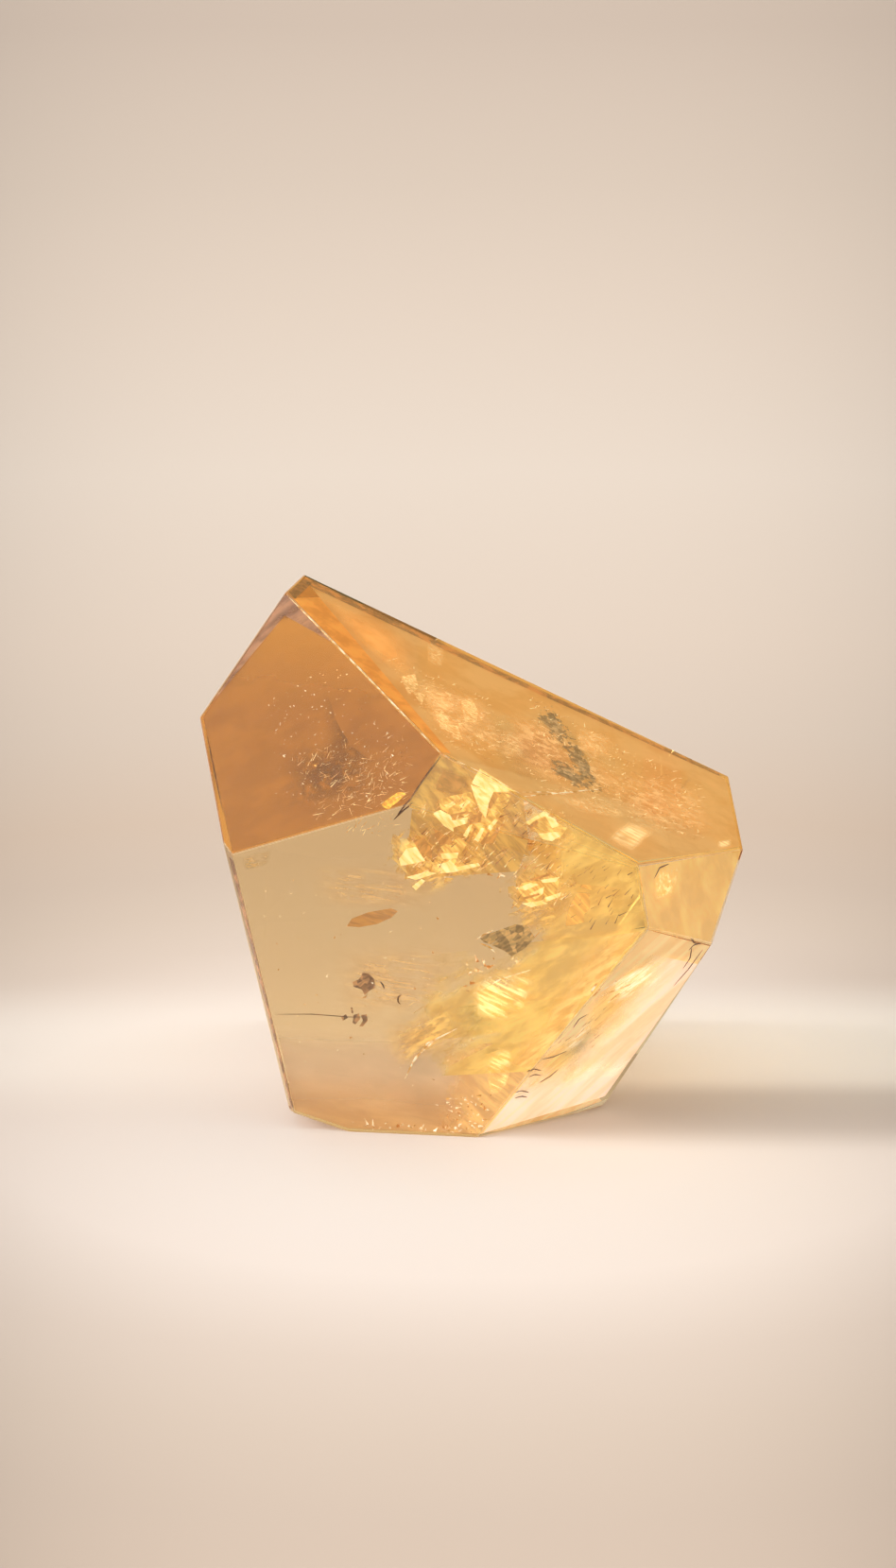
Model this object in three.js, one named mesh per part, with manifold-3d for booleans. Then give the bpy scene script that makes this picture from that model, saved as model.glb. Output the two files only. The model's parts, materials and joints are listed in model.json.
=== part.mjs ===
// Smoky quartz freeform: one block of quartz sawn and polished to flat facets, standing on its base.
// Millimetres, +Z up. The origin is the centre of the base of the stone's bounding box.
// Azimuth 0 faces -Y (the front) and grows towards +X (the right). Tilt is up from the horizon.
import * as THREE from "three";
import { mergeVertices } from "three/addons/utils/BufferGeometryUtils.js";
import Module from "manifold-3d";

// The rough block, and the saw that cuts it. The saw is one big box, moved to each facet in turn.
const ROUGH_WIDTH = 100;
const ROUGH_DEPTH = 110;
const ROUGH_HEIGHT = 100;
// The rough's middle lies this far behind the dop.
const ROUGH_SETBACK = 22;
const SAW_SIZE = 400;

// The dop is the point inside the rough that every facet's distance is measured from.
const DOP_HEIGHT = 40;

// Every meeting of two facets keeps a narrow polished bevel of this width.
const BEVEL_WIDTH = 0.25;
// A bevel is left out where two facets turn less than this, in degrees, or share a shorter edge.
const LEAST_BEVEL_TURN = 12;
const LEAST_BEVEL_EDGE = 1.5;

// The facets, as a faceting diagram: azimuth and tilt in degrees, distance from the dop in mm.
const FACETS = [
  { name: "upper left", azimuth: -30, tilt: 43, distance: 18.5 },
  { name: "upper right", azimuth: 66.5, tilt: 63, distance: 14.8 },
  { name: "front window", azimuth: -8.5, tilt: -10, distance: 11.8 },
  { name: "long brow", azimuth: 3, tilt: 31, distance: 15.8 },
  { name: "right cheek", azimuth: 53.5, tilt: 3, distance: 27.7 },
  { name: "right overhang", azimuth: 38.5, tilt: -33.5, distance: 25.7 },
  { name: "left bevel", azimuth: -65, tilt: -14, distance: 32.2 },
  { name: "left side", azimuth: -87, tilt: -12.5, distance: 33.7 },
  { name: "left shoulder", azimuth: -101, tilt: 31, distance: 43.9 },
  { name: "ridge bevel", azimuth: 158, tilt: 35, distance: 36.9 },
  { name: "back window", azimuth: 180, tilt: 16.5, distance: 42.6 },
  { name: "right side", azimuth: 97.5, tilt: -25.5, distance: 35.5 },
  { name: "toe bevel", azimuth: 43.5, tilt: -46.5, distance: 32.9 },
  { name: "heel", azimuth: -63, tilt: -69, distance: 43.4 },
  { name: "base", azimuth: 0, tilt: -90, distance: DOP_HEIGHT },
];

// Corners of a box closer than this, in mm, are one corner.
const MERGE_DISTANCE = 0.0001;

const QUARTZ = { color: 0xe0a868, roughness: 0.05, metalness: 0 };

const wasm = await Module();
wasm.setup();

// A three.js geometry as a solid that can be cut.
function solidFrom(geometry) {
  const bare = geometry.clone();
  bare.deleteAttribute("normal");
  bare.deleteAttribute("uv");
  const merged = mergeVertices(bare, MERGE_DISTANCE);
  return new wasm.Manifold(
    new wasm.Mesh({
      numProp: 3,
      vertProperties: new Float32Array(merged.attributes.position.array),
      triVerts: new Uint32Array(merged.index.array),
    }),
  );
}

// The outward normal of a facet.
function facetNormal({ azimuth, tilt }) {
  const turn = THREE.MathUtils.degToRad(azimuth);
  const rise = THREE.MathUtils.degToRad(tilt);
  return new THREE.Vector3(
    Math.sin(turn) * Math.cos(rise),
    -Math.cos(turn) * Math.cos(rise),
    Math.sin(rise),
  );
}

const dop = new THREE.Vector3(0, 0, DOP_HEIGHT);
const planes = FACETS.map((facet) => {
  const normal = facetNormal(facet);
  const onFacet = dop.clone().addScaledVector(normal, facet.distance);
  return new THREE.Plane().setFromNormalAndCoplanarPoint(normal, onFacet);
});

// Saws away all that lies in front of a plane.
function saw(solid, plane) {
  const upright = new THREE.Vector3(0, 0, 1);
  const blade = new THREE.BoxGeometry(SAW_SIZE, SAW_SIZE, SAW_SIZE);
  blade.translate(0, 0, SAW_SIZE / 2);
  const turn = new THREE.Quaternion().setFromUnitVectors(upright, plane.normal);
  blade.applyQuaternion(turn);
  const foot = plane.projectPoint(dop, new THREE.Vector3());
  blade.translate(foot.x, foot.y, foot.z);
  return solid.subtract(solidFrom(blade));
}

// The corners of the cut stone: every point that three planes share and no plane leaves outside.
function cornersOf(cuts) {
  const corners = [];
  const tolerance = 1e-6;
  for (let i = 0; i < cuts.length; i += 1) {
    for (let j = i + 1; j < cuts.length; j += 1) {
      for (let k = j + 1; k < cuts.length; k += 1) {
        const [a, b, c] = [cuts[i], cuts[j], cuts[k]];
        const bc = new THREE.Vector3().crossVectors(b.normal, c.normal);
        const ca = new THREE.Vector3().crossVectors(c.normal, a.normal);
        const ab = new THREE.Vector3().crossVectors(a.normal, b.normal);
        const share = a.normal.dot(bc);
        if (Math.abs(share) < tolerance) continue;
        const point = bc.multiplyScalar(-a.constant);
        point.addScaledVector(ca, -b.constant);
        point.addScaledVector(ab, -c.constant);
        point.divideScalar(share);
        if (cuts.every((cut) => cut.distanceToPoint(point) < tolerance)) {
          corners.push({ point, facets: [i, j, k] });
        }
      }
    }
  }
  return corners;
}

// One bevel for each edge that is long and sharp enough to carry one.
function bevelsOf(cuts) {
  const corners = cornersOf(cuts);
  const leastTurn = THREE.MathUtils.degToRad(LEAST_BEVEL_TURN);
  const bevels = [];
  for (let i = 0; i < cuts.length; i += 1) {
    for (let j = i + 1; j < cuts.length; j += 1) {
      const ends = corners.filter(({ facets }) => facets.includes(i) && facets.includes(j));
      if (ends.length !== 2) continue;
      const turn = cuts[i].normal.angleTo(cuts[j].normal);
      const length = ends[0].point.distanceTo(ends[1].point);
      if (turn < leastTurn || length < LEAST_BEVEL_EDGE) continue;
      const depth = (BEVEL_WIDTH / 2) * Math.tan(turn / 2);
      const normal = cuts[i].normal.clone().add(cuts[j].normal).normalize();
      const inset = ends[0].point.clone().addScaledVector(normal, -depth);
      bevels.push(new THREE.Plane().setFromNormalAndCoplanarPoint(normal, inset));
    }
  }
  return bevels;
}

const rough = new THREE.BoxGeometry(ROUGH_WIDTH, ROUGH_DEPTH, ROUGH_HEIGHT);
rough.translate(0, ROUGH_SETBACK, ROUGH_HEIGHT / 2);

let stone = solidFrom(rough);
for (const plane of [...planes, ...bevelsOf(planes)]) {
  stone = saw(stone, plane);
}

const cut = stone.getMesh();
const geometry = new THREE.BufferGeometry();
geometry.setAttribute("position", new THREE.BufferAttribute(cut.vertProperties, cut.numProp));
geometry.setIndex(new THREE.BufferAttribute(cut.triVerts, 1));
geometry.computeVertexNormals();

const crystal = new THREE.Mesh(geometry, new THREE.MeshStandardMaterial(QUARTZ));
crystal.name = "crystal";

// The stone is moved so that the centre of its bounding box's base is the origin.
geometry.computeBoundingBox();
const middle = geometry.boundingBox.getCenter(new THREE.Vector3());
crystal.position.set(-middle.x, -middle.y, -geometry.boundingBox.min.z);

const part = new THREE.Group();
part.add(crystal);

export default part;
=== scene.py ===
# %% [markdown]
# # A smoky quartz freeform
# A freeform is one natural block of quartz, sawn and polished to flat facets, with a flat foot to
# stand on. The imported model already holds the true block, with its narrow edge bevels. So the work
# here is looks: honey-coloured see-through quartz, the healed fractures and golden flakes inside
# it, and a plain pale table under soft light.

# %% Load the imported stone
import json
import math

import bmesh
import bpy
import numpy as np
from mathutils import Matrix, Vector
from mathutils.bvhtree import BVHTree

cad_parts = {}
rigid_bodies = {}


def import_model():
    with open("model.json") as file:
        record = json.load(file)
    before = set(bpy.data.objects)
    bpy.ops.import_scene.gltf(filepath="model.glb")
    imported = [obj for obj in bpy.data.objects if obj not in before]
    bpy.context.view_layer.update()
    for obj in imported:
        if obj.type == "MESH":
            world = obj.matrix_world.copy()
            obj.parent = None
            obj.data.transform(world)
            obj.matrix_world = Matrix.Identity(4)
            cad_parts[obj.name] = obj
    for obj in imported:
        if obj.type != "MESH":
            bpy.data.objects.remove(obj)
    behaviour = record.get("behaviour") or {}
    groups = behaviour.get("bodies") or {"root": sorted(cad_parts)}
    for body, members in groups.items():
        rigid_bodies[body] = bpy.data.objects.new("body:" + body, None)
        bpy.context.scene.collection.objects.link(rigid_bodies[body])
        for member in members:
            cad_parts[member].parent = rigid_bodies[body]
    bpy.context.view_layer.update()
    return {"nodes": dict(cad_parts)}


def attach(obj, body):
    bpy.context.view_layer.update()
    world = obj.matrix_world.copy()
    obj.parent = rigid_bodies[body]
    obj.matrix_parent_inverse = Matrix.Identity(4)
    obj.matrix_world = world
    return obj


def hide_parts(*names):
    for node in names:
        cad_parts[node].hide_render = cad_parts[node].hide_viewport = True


MM = 0.001

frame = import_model()

# %% [markdown]
# ## Writing shader maths as sums
# A shader tree is easier to read as a formula than as a list of links. `Value` wraps a socket and
# overloads the operators, so `1 - mask * 0.5` adds its own Math nodes. `Recipe` has one method,
# `make`, that makes any other node from its type, its settings and its socket values. The other
# methods only save words.


# %% A socket that adds up, and a writer of node trees
class Value:
    def __init__(self, recipe, socket):
        self.recipe = recipe
        self.socket = socket

    def maths(self, operation, first, second=None, clamp=False):
        values = {0: first} if second is None else {0: first, 1: second}
        settings = {"operation": operation, "use_clamp": clamp}
        return self.recipe.make("ShaderNodeMath", settings, values)

    def __add__(self, other):
        return self.maths("ADD", self, other)

    def __radd__(self, other):
        return self.maths("ADD", other, self)

    def __sub__(self, other):
        return self.maths("SUBTRACT", self, other)

    def __rsub__(self, other):
        return self.maths("SUBTRACT", other, self)

    def __mul__(self, other):
        return self.maths("MULTIPLY", self, other)

    def __rmul__(self, other):
        return self.maths("MULTIPLY", other, self)

    def __pow__(self, other):
        return self.maths("POWER", self, other)

    def smooth(self, start, end):
        """0 below start and 1 above end, with an S-curve between; start may be the larger."""
        settings = {"interpolation_type": "SMOOTHSTEP"}
        low, high = (start, end) if start < end else (end, start)
        to = (0.0, 1.0) if start < end else (1.0, 0.0)
        values = {"Value": self, "From Min": low, "From Max": high, "To Min": to[0], "To Max": to[1]}
        return self.recipe.make("ShaderNodeMapRange", settings, values)


class Recipe:
    def __init__(self, tree):
        self.tree = tree
        tree.nodes.clear()

    def make(self, kind, settings=None, values=None, output=0):
        node = self.tree.nodes.new(kind)
        for name, setting in (settings or {}).items():
            if name == "stops":
                self.set_stops(node, setting)
            else:
                setattr(node, name, setting)
        for name, value in (values or {}).items():
            socket = node.inputs[name]
            if isinstance(value, Value):
                self.tree.links.new(value.socket, socket)
            else:
                socket.default_value = value
        if not node.outputs:
            return node
        return Value(self, node.outputs[output])

    def set_stops(self, node, stops):
        ramp = node.color_ramp
        while len(ramp.elements) < len(stops):
            ramp.elements.new(1.0)
        for element, (position, colour) in zip(ramp.elements, stops):
            element.position = position
            element.color = (*colour, 1.0)

    def mix(self, share, first, second):
        settings = {"data_type": "RGBA"}
        return self.make("ShaderNodeMix", settings, {0: share, 6: first, 7: second}, output=2)

    def vector(self, operation, *values, output=0):
        """A Vector Math node. Output 1 holds a length, a distance or a dot product."""
        settings = {"operation": operation}
        return self.make("ShaderNodeVectorMath", settings, dict(enumerate(values)), output)

    def parts(self, vector):
        """The X, Y and Z of a vector."""
        split = self.make("ShaderNodeSeparateXYZ", values={0: vector}).socket.node
        return [Value(self, output) for output in split.outputs]

    def noise(self, place, scale, detail):
        values = {"Vector": place, "Scale": scale, "Detail": detail}
        return self.make("ShaderNodeTexNoise", values=values)

    def object_place(self):
        return self.make("ShaderNodeTexCoord", output=3)

    def finish(self, surface=None, volume=None):
        end = self.make("ShaderNodeOutputMaterial")
        if surface:
            self.tree.links.new(surface.socket, end.inputs["Surface"])
        if volume:
            self.tree.links.new(volume.socket, end.inputs["Volume"])


def new_material(name):
    material = bpy.data.materials.new(name)
    material.use_nodes = True
    return material, Recipe(material.node_tree)


def linear(tone):
    """A tone as a screen shows it, three numbers from 0 to 255, in the linear light of shaders."""
    shown = [channel / 255 for channel in tone]
    return tuple(c / 12.92 if c <= 0.04045 else ((c + 0.055) / 1.055) ** 2.4 for c in shown)


BLACK = (0.0, 0.0, 0.0, 1.0)
WHITE = (1.0, 1.0, 1.0, 1.0)
print("shown grey 128 is", round(linear((128, 128, 128))[0], 3), "in linear light")

# %% [markdown]
# ## The camera
# A long lens from a little above, as for a small product shot. It sits 617 mm away and looks down
# 13 degrees, so the facets keep their true shapes with little perspective.

# %% The camera
LENS = 100.0
SENSOR_WIDTH = 36.0
LOOK_DOWN = math.radians(13.0)
CAMERA_DISTANCE = 617.0 * MM
AIM = Vector((-3.3, -17.9, 50.0)) * MM


def link(name, data):
    """A new object at the origin, in the scene."""
    made = bpy.data.objects.new(name, data)
    bpy.context.scene.collection.objects.link(made)
    return made


camera_data = bpy.data.cameras.new("camera")
camera_data.lens = LENS
camera_data.sensor_width = SENSOR_WIDTH
camera = link("camera", camera_data)
view_line = Vector((0.0, math.cos(LOOK_DOWN), -math.sin(LOOK_DOWN)))
camera.location = AIM - view_line * CAMERA_DISTANCE
camera.rotation_euler = (math.pi / 2 - LOOK_DOWN, 0.0, 0.0)
bpy.context.scene.camera = camera
bpy.context.scene.view_settings.view_transform = "Standard"
print("camera height:", round(camera.location.z / MM), "mm")

# %% [markdown]
# ## The room
# A see-through stone shows its room twice: in its polish and through its body. One soft sky does
# nearly all the lighting, so that light can find its way through the stone and back without noise.
# The sky is warm, brightest in a broad soft patch on the left, and dim behind the stone, where a
# steep facet mirrors it.

# %% The sky
SKY_LOW = (0.78, 0.72, 0.66, 1.0)
SKY_HIGH = (0.88, 0.83, 0.76, 1.0)
SKY_FULL_HEIGHT = 0.8
# Each patch of the sky has a direction, a colour and an edge: the cosines of the angles from that
# direction where the patch begins and where it is full.
BEHIND_DIRECTION = Vector((0.3, 0.84, 0.45)).normalized()
SKY_BEHIND = (0.80, 0.54, 0.20, 1.0)
BEHIND_EDGE = (0.80, 0.95)
KEY_DIRECTION = Vector((-0.90, -0.24, 0.34)).normalized()
KEY_COLOUR = (1.0, 0.95, 0.88, 1.0)
KEY_EDGE = (0.90, 0.97)
KEY_STRENGTH = 9.0
SIDE_DIRECTION = Vector((0.75, -0.25, 0.61)).normalized()
SIDE_COLOUR = (1.0, 0.80, 0.60, 1.0)
SIDE_EDGE = (0.90, 0.975)
SIDE_STRENGTH = 0.6


def build_sky():
    world = bpy.data.worlds.new("soft sky")
    world.use_nodes = True
    bpy.context.scene.world = world
    sky = Recipe(world.node_tree)
    unit = sky.vector("NORMALIZE", sky.make("ShaderNodeTexCoord", output=0))
    height = sky.parts(unit)[2]

    def patch(towards, edge, core):
        return sky.vector("DOT_PRODUCT", unit, towards, output=1).smooth(edge, core)

    def background(colour, strength):
        return sky.make("ShaderNodeBackground", values={"Color": colour, "Strength": strength})

    colour = sky.mix(height.smooth(0.0, SKY_FULL_HEIGHT), SKY_LOW, SKY_HIGH)
    colour = sky.mix(patch(BEHIND_DIRECTION, *BEHIND_EDGE), colour, SKY_BEHIND)
    base = background(colour, 1.0)
    key = background(KEY_COLOUR, patch(KEY_DIRECTION, *KEY_EDGE) * KEY_STRENGTH)
    side = background(SIDE_COLOUR, patch(SIDE_DIRECTION, *SIDE_EDGE) * SIDE_STRENGTH)
    panels = sky.make("ShaderNodeAddShader", values={0: key, 1: side})
    total = sky.make("ShaderNodeAddShader", values={0: base, 1: panels})
    end = sky.make("ShaderNodeOutputWorld")
    sky.tree.links.new(total.socket, end.inputs["Surface"])


build_sky()
key_height = math.degrees(math.asin(KEY_DIRECTION.z))
print("sky built, key light from the left at", round(key_height), "degrees up")

# %% [markdown]
# ## The table
# The stone stands on one pale surface that runs far back and turns into the backdrop. It is a wide disc
# whose colour holds a painted pool of light round the stone and painted shade beyond it: cream near the
# stone, a soft darker band just behind, then a light warm grey. The stone throws a bright strip of light
# behind it and a soft brown shadow to the right. A sky this soft draws neither, so both are painted into
# the table's colour, and so is its slight darkening at the sides.

# %% The table
TABLE_RADIUS = 6.0
TABLE_SIDES = 128
TABLE_ROUGHNESS = 0.9
TABLE_GAP = 0.05 * MM
# The table's tones, by distance from this centre, are a painted pool of light round the stone, with
# painted shade in the darker band behind it and far off.
LIGHT_POOL_CENTRE = (0.0, -15.0 * MM, 0.0)
# The light that falls on the table, so that each stop below can be given as the tone it shows.
TABLE_LIGHT = (1.27, 1.19, 1.07)
LIGHT_POOL_STOPS_MM = [
    (0, (255, 245, 233)),
    (40, (254, 242, 230)),
    (70, (253, 238, 225)),
    (100, (235, 217, 201)),
    (125, (227, 208, 190)),
    (150, (221, 201, 183)),
    (191, (222, 200, 180)),
    (269, (226, 208, 191)),
    (364, (232, 214, 197)),
    (600, (236, 221, 206)),
    (1000, (229, 212, 196)),
    (1500, (220, 203, 187)),
    (2860, (208, 190, 175)),
]
# The edges of the strip and the shadow are places along y or x, in mm, where each begins and is full.
BRIGHT_STRIP = {"front": (-18, 12), "back": (62, 24), "left": 0.45, "right": 0.95, "turn": (0, 25)}
SOFT_SHADOW = {"front": (-33, -19), "back": (4, -6), "start": (-4, 16), "strength": 0.24}
SHADOW_TONE = (0.10, 0.05, 0.02, 1.0)
# Painted shade: the table darkens outside a wedge that opens away from this tip, with sides that lean
# this much. The tip lies under the camera, so the shade darkens the sides of this view.
PAINTED_EDGE_SHADE = 0.14
WEDGE_TIP = (-3.3 * MM, -619.0 * MM)
WEDGE_SLOPE = 0.103
WEDGE_LIMIT = 1.3


def table_material():
    material, recipe = new_material("pale table")
    place = recipe.object_place()
    x, y, _ = recipe.parts(place)
    far = LIGHT_POOL_STOPS_MM[-1][0]
    stops = []
    for reach, shown in LIGHT_POOL_STOPS_MM:
        pigment = [tone / light for tone, light in zip(linear(shown), TABLE_LIGHT)]
        stops.append((math.sqrt(reach / far), pigment))
    distance = recipe.vector("DISTANCE", place, LIGHT_POOL_CENTRE, output=1)
    share = (distance * (1 / (far * MM))) ** 0.5
    colour = recipe.make("ShaderNodeValToRGB", {"stops": stops}, {"Fac": share})
    along_x = x * (1 / MM)
    along_y = y * (1 / MM)
    strip = along_y.smooth(*BRIGHT_STRIP["front"]) * along_y.smooth(*BRIGHT_STRIP["back"])
    gain = along_x.smooth(*BRIGHT_STRIP["turn"]) * (BRIGHT_STRIP["right"] - BRIGHT_STRIP["left"])
    colour = recipe.mix(strip * (gain + BRIGHT_STRIP["left"]), colour, WHITE)
    shadow = along_y.smooth(*SOFT_SHADOW["front"]) * along_y.smooth(*SOFT_SHADOW["back"])
    shadow = shadow * along_x.smooth(*SOFT_SHADOW["start"]) * SOFT_SHADOW["strength"]
    colour = recipe.mix(shadow, colour, SHADOW_TONE)
    sideways = x - WEDGE_TIP[0]
    slope = sideways.maths("DIVIDE", sideways.maths("ABSOLUTE", sideways), y - WEDGE_TIP[1])
    aside = slope.maths("MINIMUM", slope, WEDGE_SLOPE * WEDGE_LIMIT) * (1 / WEDGE_SLOPE)
    colour = recipe.mix(aside**3 * PAINTED_EDGE_SHADE, colour, BLACK)
    values = {"Base Color": colour, "Roughness": TABLE_ROUGHNESS}
    recipe.finish(recipe.make("ShaderNodeBsdfPrincipled", values=values))
    return material


def build_table():
    mesh = bpy.data.meshes.new("table")
    table = bmesh.new()
    bmesh.ops.create_circle(table, cap_ends=True, segments=TABLE_SIDES, radius=TABLE_RADIUS)
    table.to_mesh(mesh)
    table.free()
    mesh.materials.append(table_material())
    mesh.transform(Matrix.Translation((0.0, 0.0, -TABLE_GAP)))
    link("table", mesh)


build_table()
print("table:", len(LIGHT_POOL_STOPS_MM), "colour stops")

# %% [markdown]
# ## The quartz
# The CAD body comes in as loose triangles, so a copy of it is merged into one closed skin. Quartz
# bends light by 1.545, and its colour sits in the whole body, not on its skin: the deeper the path,
# the browner the light. So the colour is plain absorption, which takes blue first.

# %% The quartz body
MERGE_DISTANCE = 0.002 * MM
FLAT_TURN = math.radians(0.05)


def merged_copy(node_name, name):
    mesh = frame["nodes"][node_name].data.copy()
    mesh.name = name
    body = bmesh.new()
    body.from_mesh(mesh)
    bmesh.ops.remove_doubles(body, verts=body.verts, dist=MERGE_DISTANCE)
    bmesh.ops.dissolve_limit(body, angle_limit=FLAT_TURN, verts=body.verts, edges=body.edges)
    body.to_mesh(mesh)
    body.free()
    mesh.materials.clear()
    return link(name, mesh)


quartz = merged_copy("crystal", "quartz")
print("quartz body:", len(quartz.data.polygons), "faces")

# %% [markdown]
# ## Polished and ground
# The facets are polished, with the faint wave that a hand-held stone gets on the wheel. The narrow
# bevels between them are only ground, so they scatter the light a little. Every facet is far larger
# than any bevel, so the area of a face tells which it is.

# %% The ground edges
FACET_AREA = 20 * MM * MM


def mark_ground_edges(mesh):
    """1 on the narrow ground edges, 0 on the polished facets."""
    ground = mesh.attributes.new("ground", "FLOAT", "FACE")
    narrow = [face.area < FACET_AREA for face in mesh.polygons]
    ground.data.foreach_set("value", narrow)
    print("ground edges:", sum(narrow), "faces, polished facets:", len(narrow) - sum(narrow))


mark_ground_edges(quartz.data)

# %% The quartz itself
QUARTZ_IOR = 1.545
ABSORPTION_PER_MM = (0.0030, 0.0072, 0.0175)
SAMPLE_PATH_MM = 40
# The density that the colour is worked out for is a little above the strongest absorption, so that
# no channel of the colour comes out at zero.
DENSITY_HEADROOM = 1.005
EDGE_ROUGHNESS = 0.30
POLISH_WAVE = 14 * MM
POLISH_DETAIL = 2.0
POLISH_HEIGHT = 0.02 * MM


def quartz_material():
    material, recipe = new_material("honey quartz")
    wave = recipe.noise(recipe.object_place(), 1 / POLISH_WAVE, POLISH_DETAIL)
    values = {"Height": wave, "Distance": POLISH_HEIGHT, "Strength": 1.0}
    polish = recipe.make("ShaderNodeBump", values=values)
    ground = recipe.make("ShaderNodeAttribute", {"attribute_name": "ground"}, output=2)
    values = {"Base Color": WHITE, "IOR": QUARTZ_IOR, "Transmission Weight": 1.0}
    values.update({"Roughness": ground * EDGE_ROUGHNESS, "Normal": polish})
    glass = recipe.make("ShaderNodeBsdfPrincipled", values=values)
    density = max(ABSORPTION_PER_MM) / MM * DENSITY_HEADROOM
    passed = [1.0 - rate / MM / density for rate in ABSORPTION_PER_MM]
    values = {"Color": (*passed, 1.0), "Density": density}
    smoke = recipe.make("ShaderNodeVolumeAbsorption", values=values)
    recipe.finish(glass, smoke)
    return material


quartz.data.materials.append(quartz_material())
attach(quartz, "root")
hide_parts("crystal")
through = [round(math.exp(-rate * SAMPLE_PATH_MM), 2) for rate in ABSORPTION_PER_MM]
print(SAMPLE_PATH_MM, "mm of quartz lets through", through, "of red, green and blue")

# %% [markdown]
# ## The light under the foot
# Light that falls through the stone reaches the table under it and comes back up as amber. That path
# is long and noisy to trace. So the table under the foot gets a thin patch that glows in the amber
# that the real one sends back. Its rim fades out inside the foot, so no light leaks past the edge.

# %% The light under the foot
STRAIGHT_DOWN = -0.999
FOOT_CORE = 0.93
FOOT_RIM_GLOW = 0.6
FOOT_LIGHT = (0.92, 0.54, 0.19, 1.0)
FOOT_BASE = (0.05, 0.03, 0.01, 1.0)


def foot_outline(mesh):
    """The corners of the largest face that looks straight down."""
    flat = [face for face in mesh.polygons if face.normal.z < STRAIGHT_DOWN]
    foot = max(flat, key=lambda face: face.area)
    return [mesh.vertices[index].co.xy for index in foot.vertices]


def foot_material():
    material, recipe = new_material("amber foot light")
    share = recipe.make("ShaderNodeAttribute", {"attribute_name": "glow"}, output=2)
    light = recipe.mix(share, BLACK, FOOT_LIGHT)
    values = {"Base Color": FOOT_BASE, "Emission Color": light, "Emission Strength": 1.0}
    recipe.finish(recipe.make("ShaderNodeBsdfPrincipled", values=values))
    return material


def build_foot_light():
    outline = foot_outline(quartz.data)
    centre = sum(outline, Vector((0.0, 0.0))) / len(outline)
    inner = [centre + (point - centre) * FOOT_CORE for point in outline]
    points = [(point.x, point.y, -TABLE_GAP / 2) for point in outline + inner]
    count = len(outline)
    faces = [list(range(count, 2 * count))]
    for index in range(count):
        after = (index + 1) % count
        faces.append([index, after, count + after, count + index])
    mesh = bpy.data.meshes.new("foot light")
    mesh.from_pydata(points, [], faces)
    glow = mesh.attributes.new("glow", "FLOAT", "POINT")
    glow.data.foreach_set("value", [FOOT_RIM_GLOW] * count + [1.0] * count)
    mesh.materials.append(foot_material())
    link("foot_light", mesh)
    print("foot light:", len(mesh.polygons), "faces from an outline of", count, "corners")


build_foot_light()

# %% [markdown]
# ## Finding a place inside the stone
# The marks in this stone lie under its polished skin, and a flat facet bends every line of sight. So
# a place inside is found as the eye finds it. A sight line goes from the camera through a place in
# the front view, 948 wide and 1659 high. It bends where it meets the skin, and then runs on for the
# wanted depth. A last step pulls any point that lies too near the skin a little further in.

# %% Sight lines that bend at the skin
VIEW_WIDTH = 948
VIEW_HEIGHT = 1659
VIEW_FOCAL = LENS / SENSOR_WIDTH * VIEW_HEIGHT

view_right = Vector((1.0, 0.0, 0.0))
view_up = view_right.cross(view_line)
skin = BVHTree.FromObject(quartz, bpy.context.evaluated_depsgraph_get())


def inside(x, y, depth):
    """The point seen at x, y of the front view, depth mm along the bent sight line."""
    across = (x - VIEW_WIDTH / 2) / VIEW_FOCAL
    down = (y - VIEW_HEIGHT / 2) / VIEW_FOCAL
    sight = (view_line + view_right * across - view_up * down).normalized()
    place, normal, _, _ = skin.ray_cast(camera.location, sight)
    if place is None:
        raise ValueError(f"the front view at {x}, {y} misses the stone")
    cosine = -sight.dot(normal)
    ratio = 1 / QUARTZ_IOR
    bend = ratio * cosine - math.sqrt(1 - ratio**2 * (1 - cosine**2))
    return place + (sight * ratio + normal * bend) * depth * MM


def places(corners, depth):
    """Points inside for places of the front view: x and y at this depth, or x, y and a depth."""
    return [inside(*corner) if len(corner) == 3 else inside(*corner, depth) for corner in corners]


print("a point 5 mm in, in mm:", [round(value / MM, 1) for value in inside(400, 1000, 5)])

# %% The inner side of the skin
SKIN_MARGIN = 0.12 * MM
SKIN_SLACK = 0.02 * MM
SETTLING_ROUNDS = 3


def skin_planes(mesh):
    """Normals and distances of the faces that the whole stone lies behind."""
    corners = np.array([vertex.co[:] for vertex in mesh.vertices])
    normals = np.array([face.normal[:] for face in mesh.polygons])
    on_faces = np.array([corners[face.vertices[0]] for face in mesh.polygons])
    reaches = (on_faces * normals).sum(axis=1)
    outer = (corners @ normals.T - reaches).max(axis=0) < SKIN_SLACK
    return normals[outer], reaches[outer]


facet_normals, facet_reaches = skin_planes(quartz.data)


def keep_inside(points):
    """Moves the points that are too near the skin inwards, in rounds that settle the corners too."""
    points = np.array(points)
    for _ in range(SETTLING_ROUNDS):
        for normal, reach in zip(facet_normals, facet_reaches):
            excess = np.maximum(points @ normal - (reach - SKIN_MARGIN), 0.0)
            points -= excess[:, None] * normal
    return points


print("the marks stay behind", len(facet_reaches), "planes")

# %% [markdown]
# ## Sheets
# Nearly every mark in quartz is a healed crack: a thin, slightly crumpled sheet. A cloth simulation
# could crumple it, but not to order. `crumpled_sheet` lays a grid between four corners and shakes
# it, so its small faces catch the light in different ways. Its UV map runs from 0 to 1 across it,
# which the materials use to fray the outline.


# %% Crumpled sheets
CELL_SLIDE = 0.35


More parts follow.
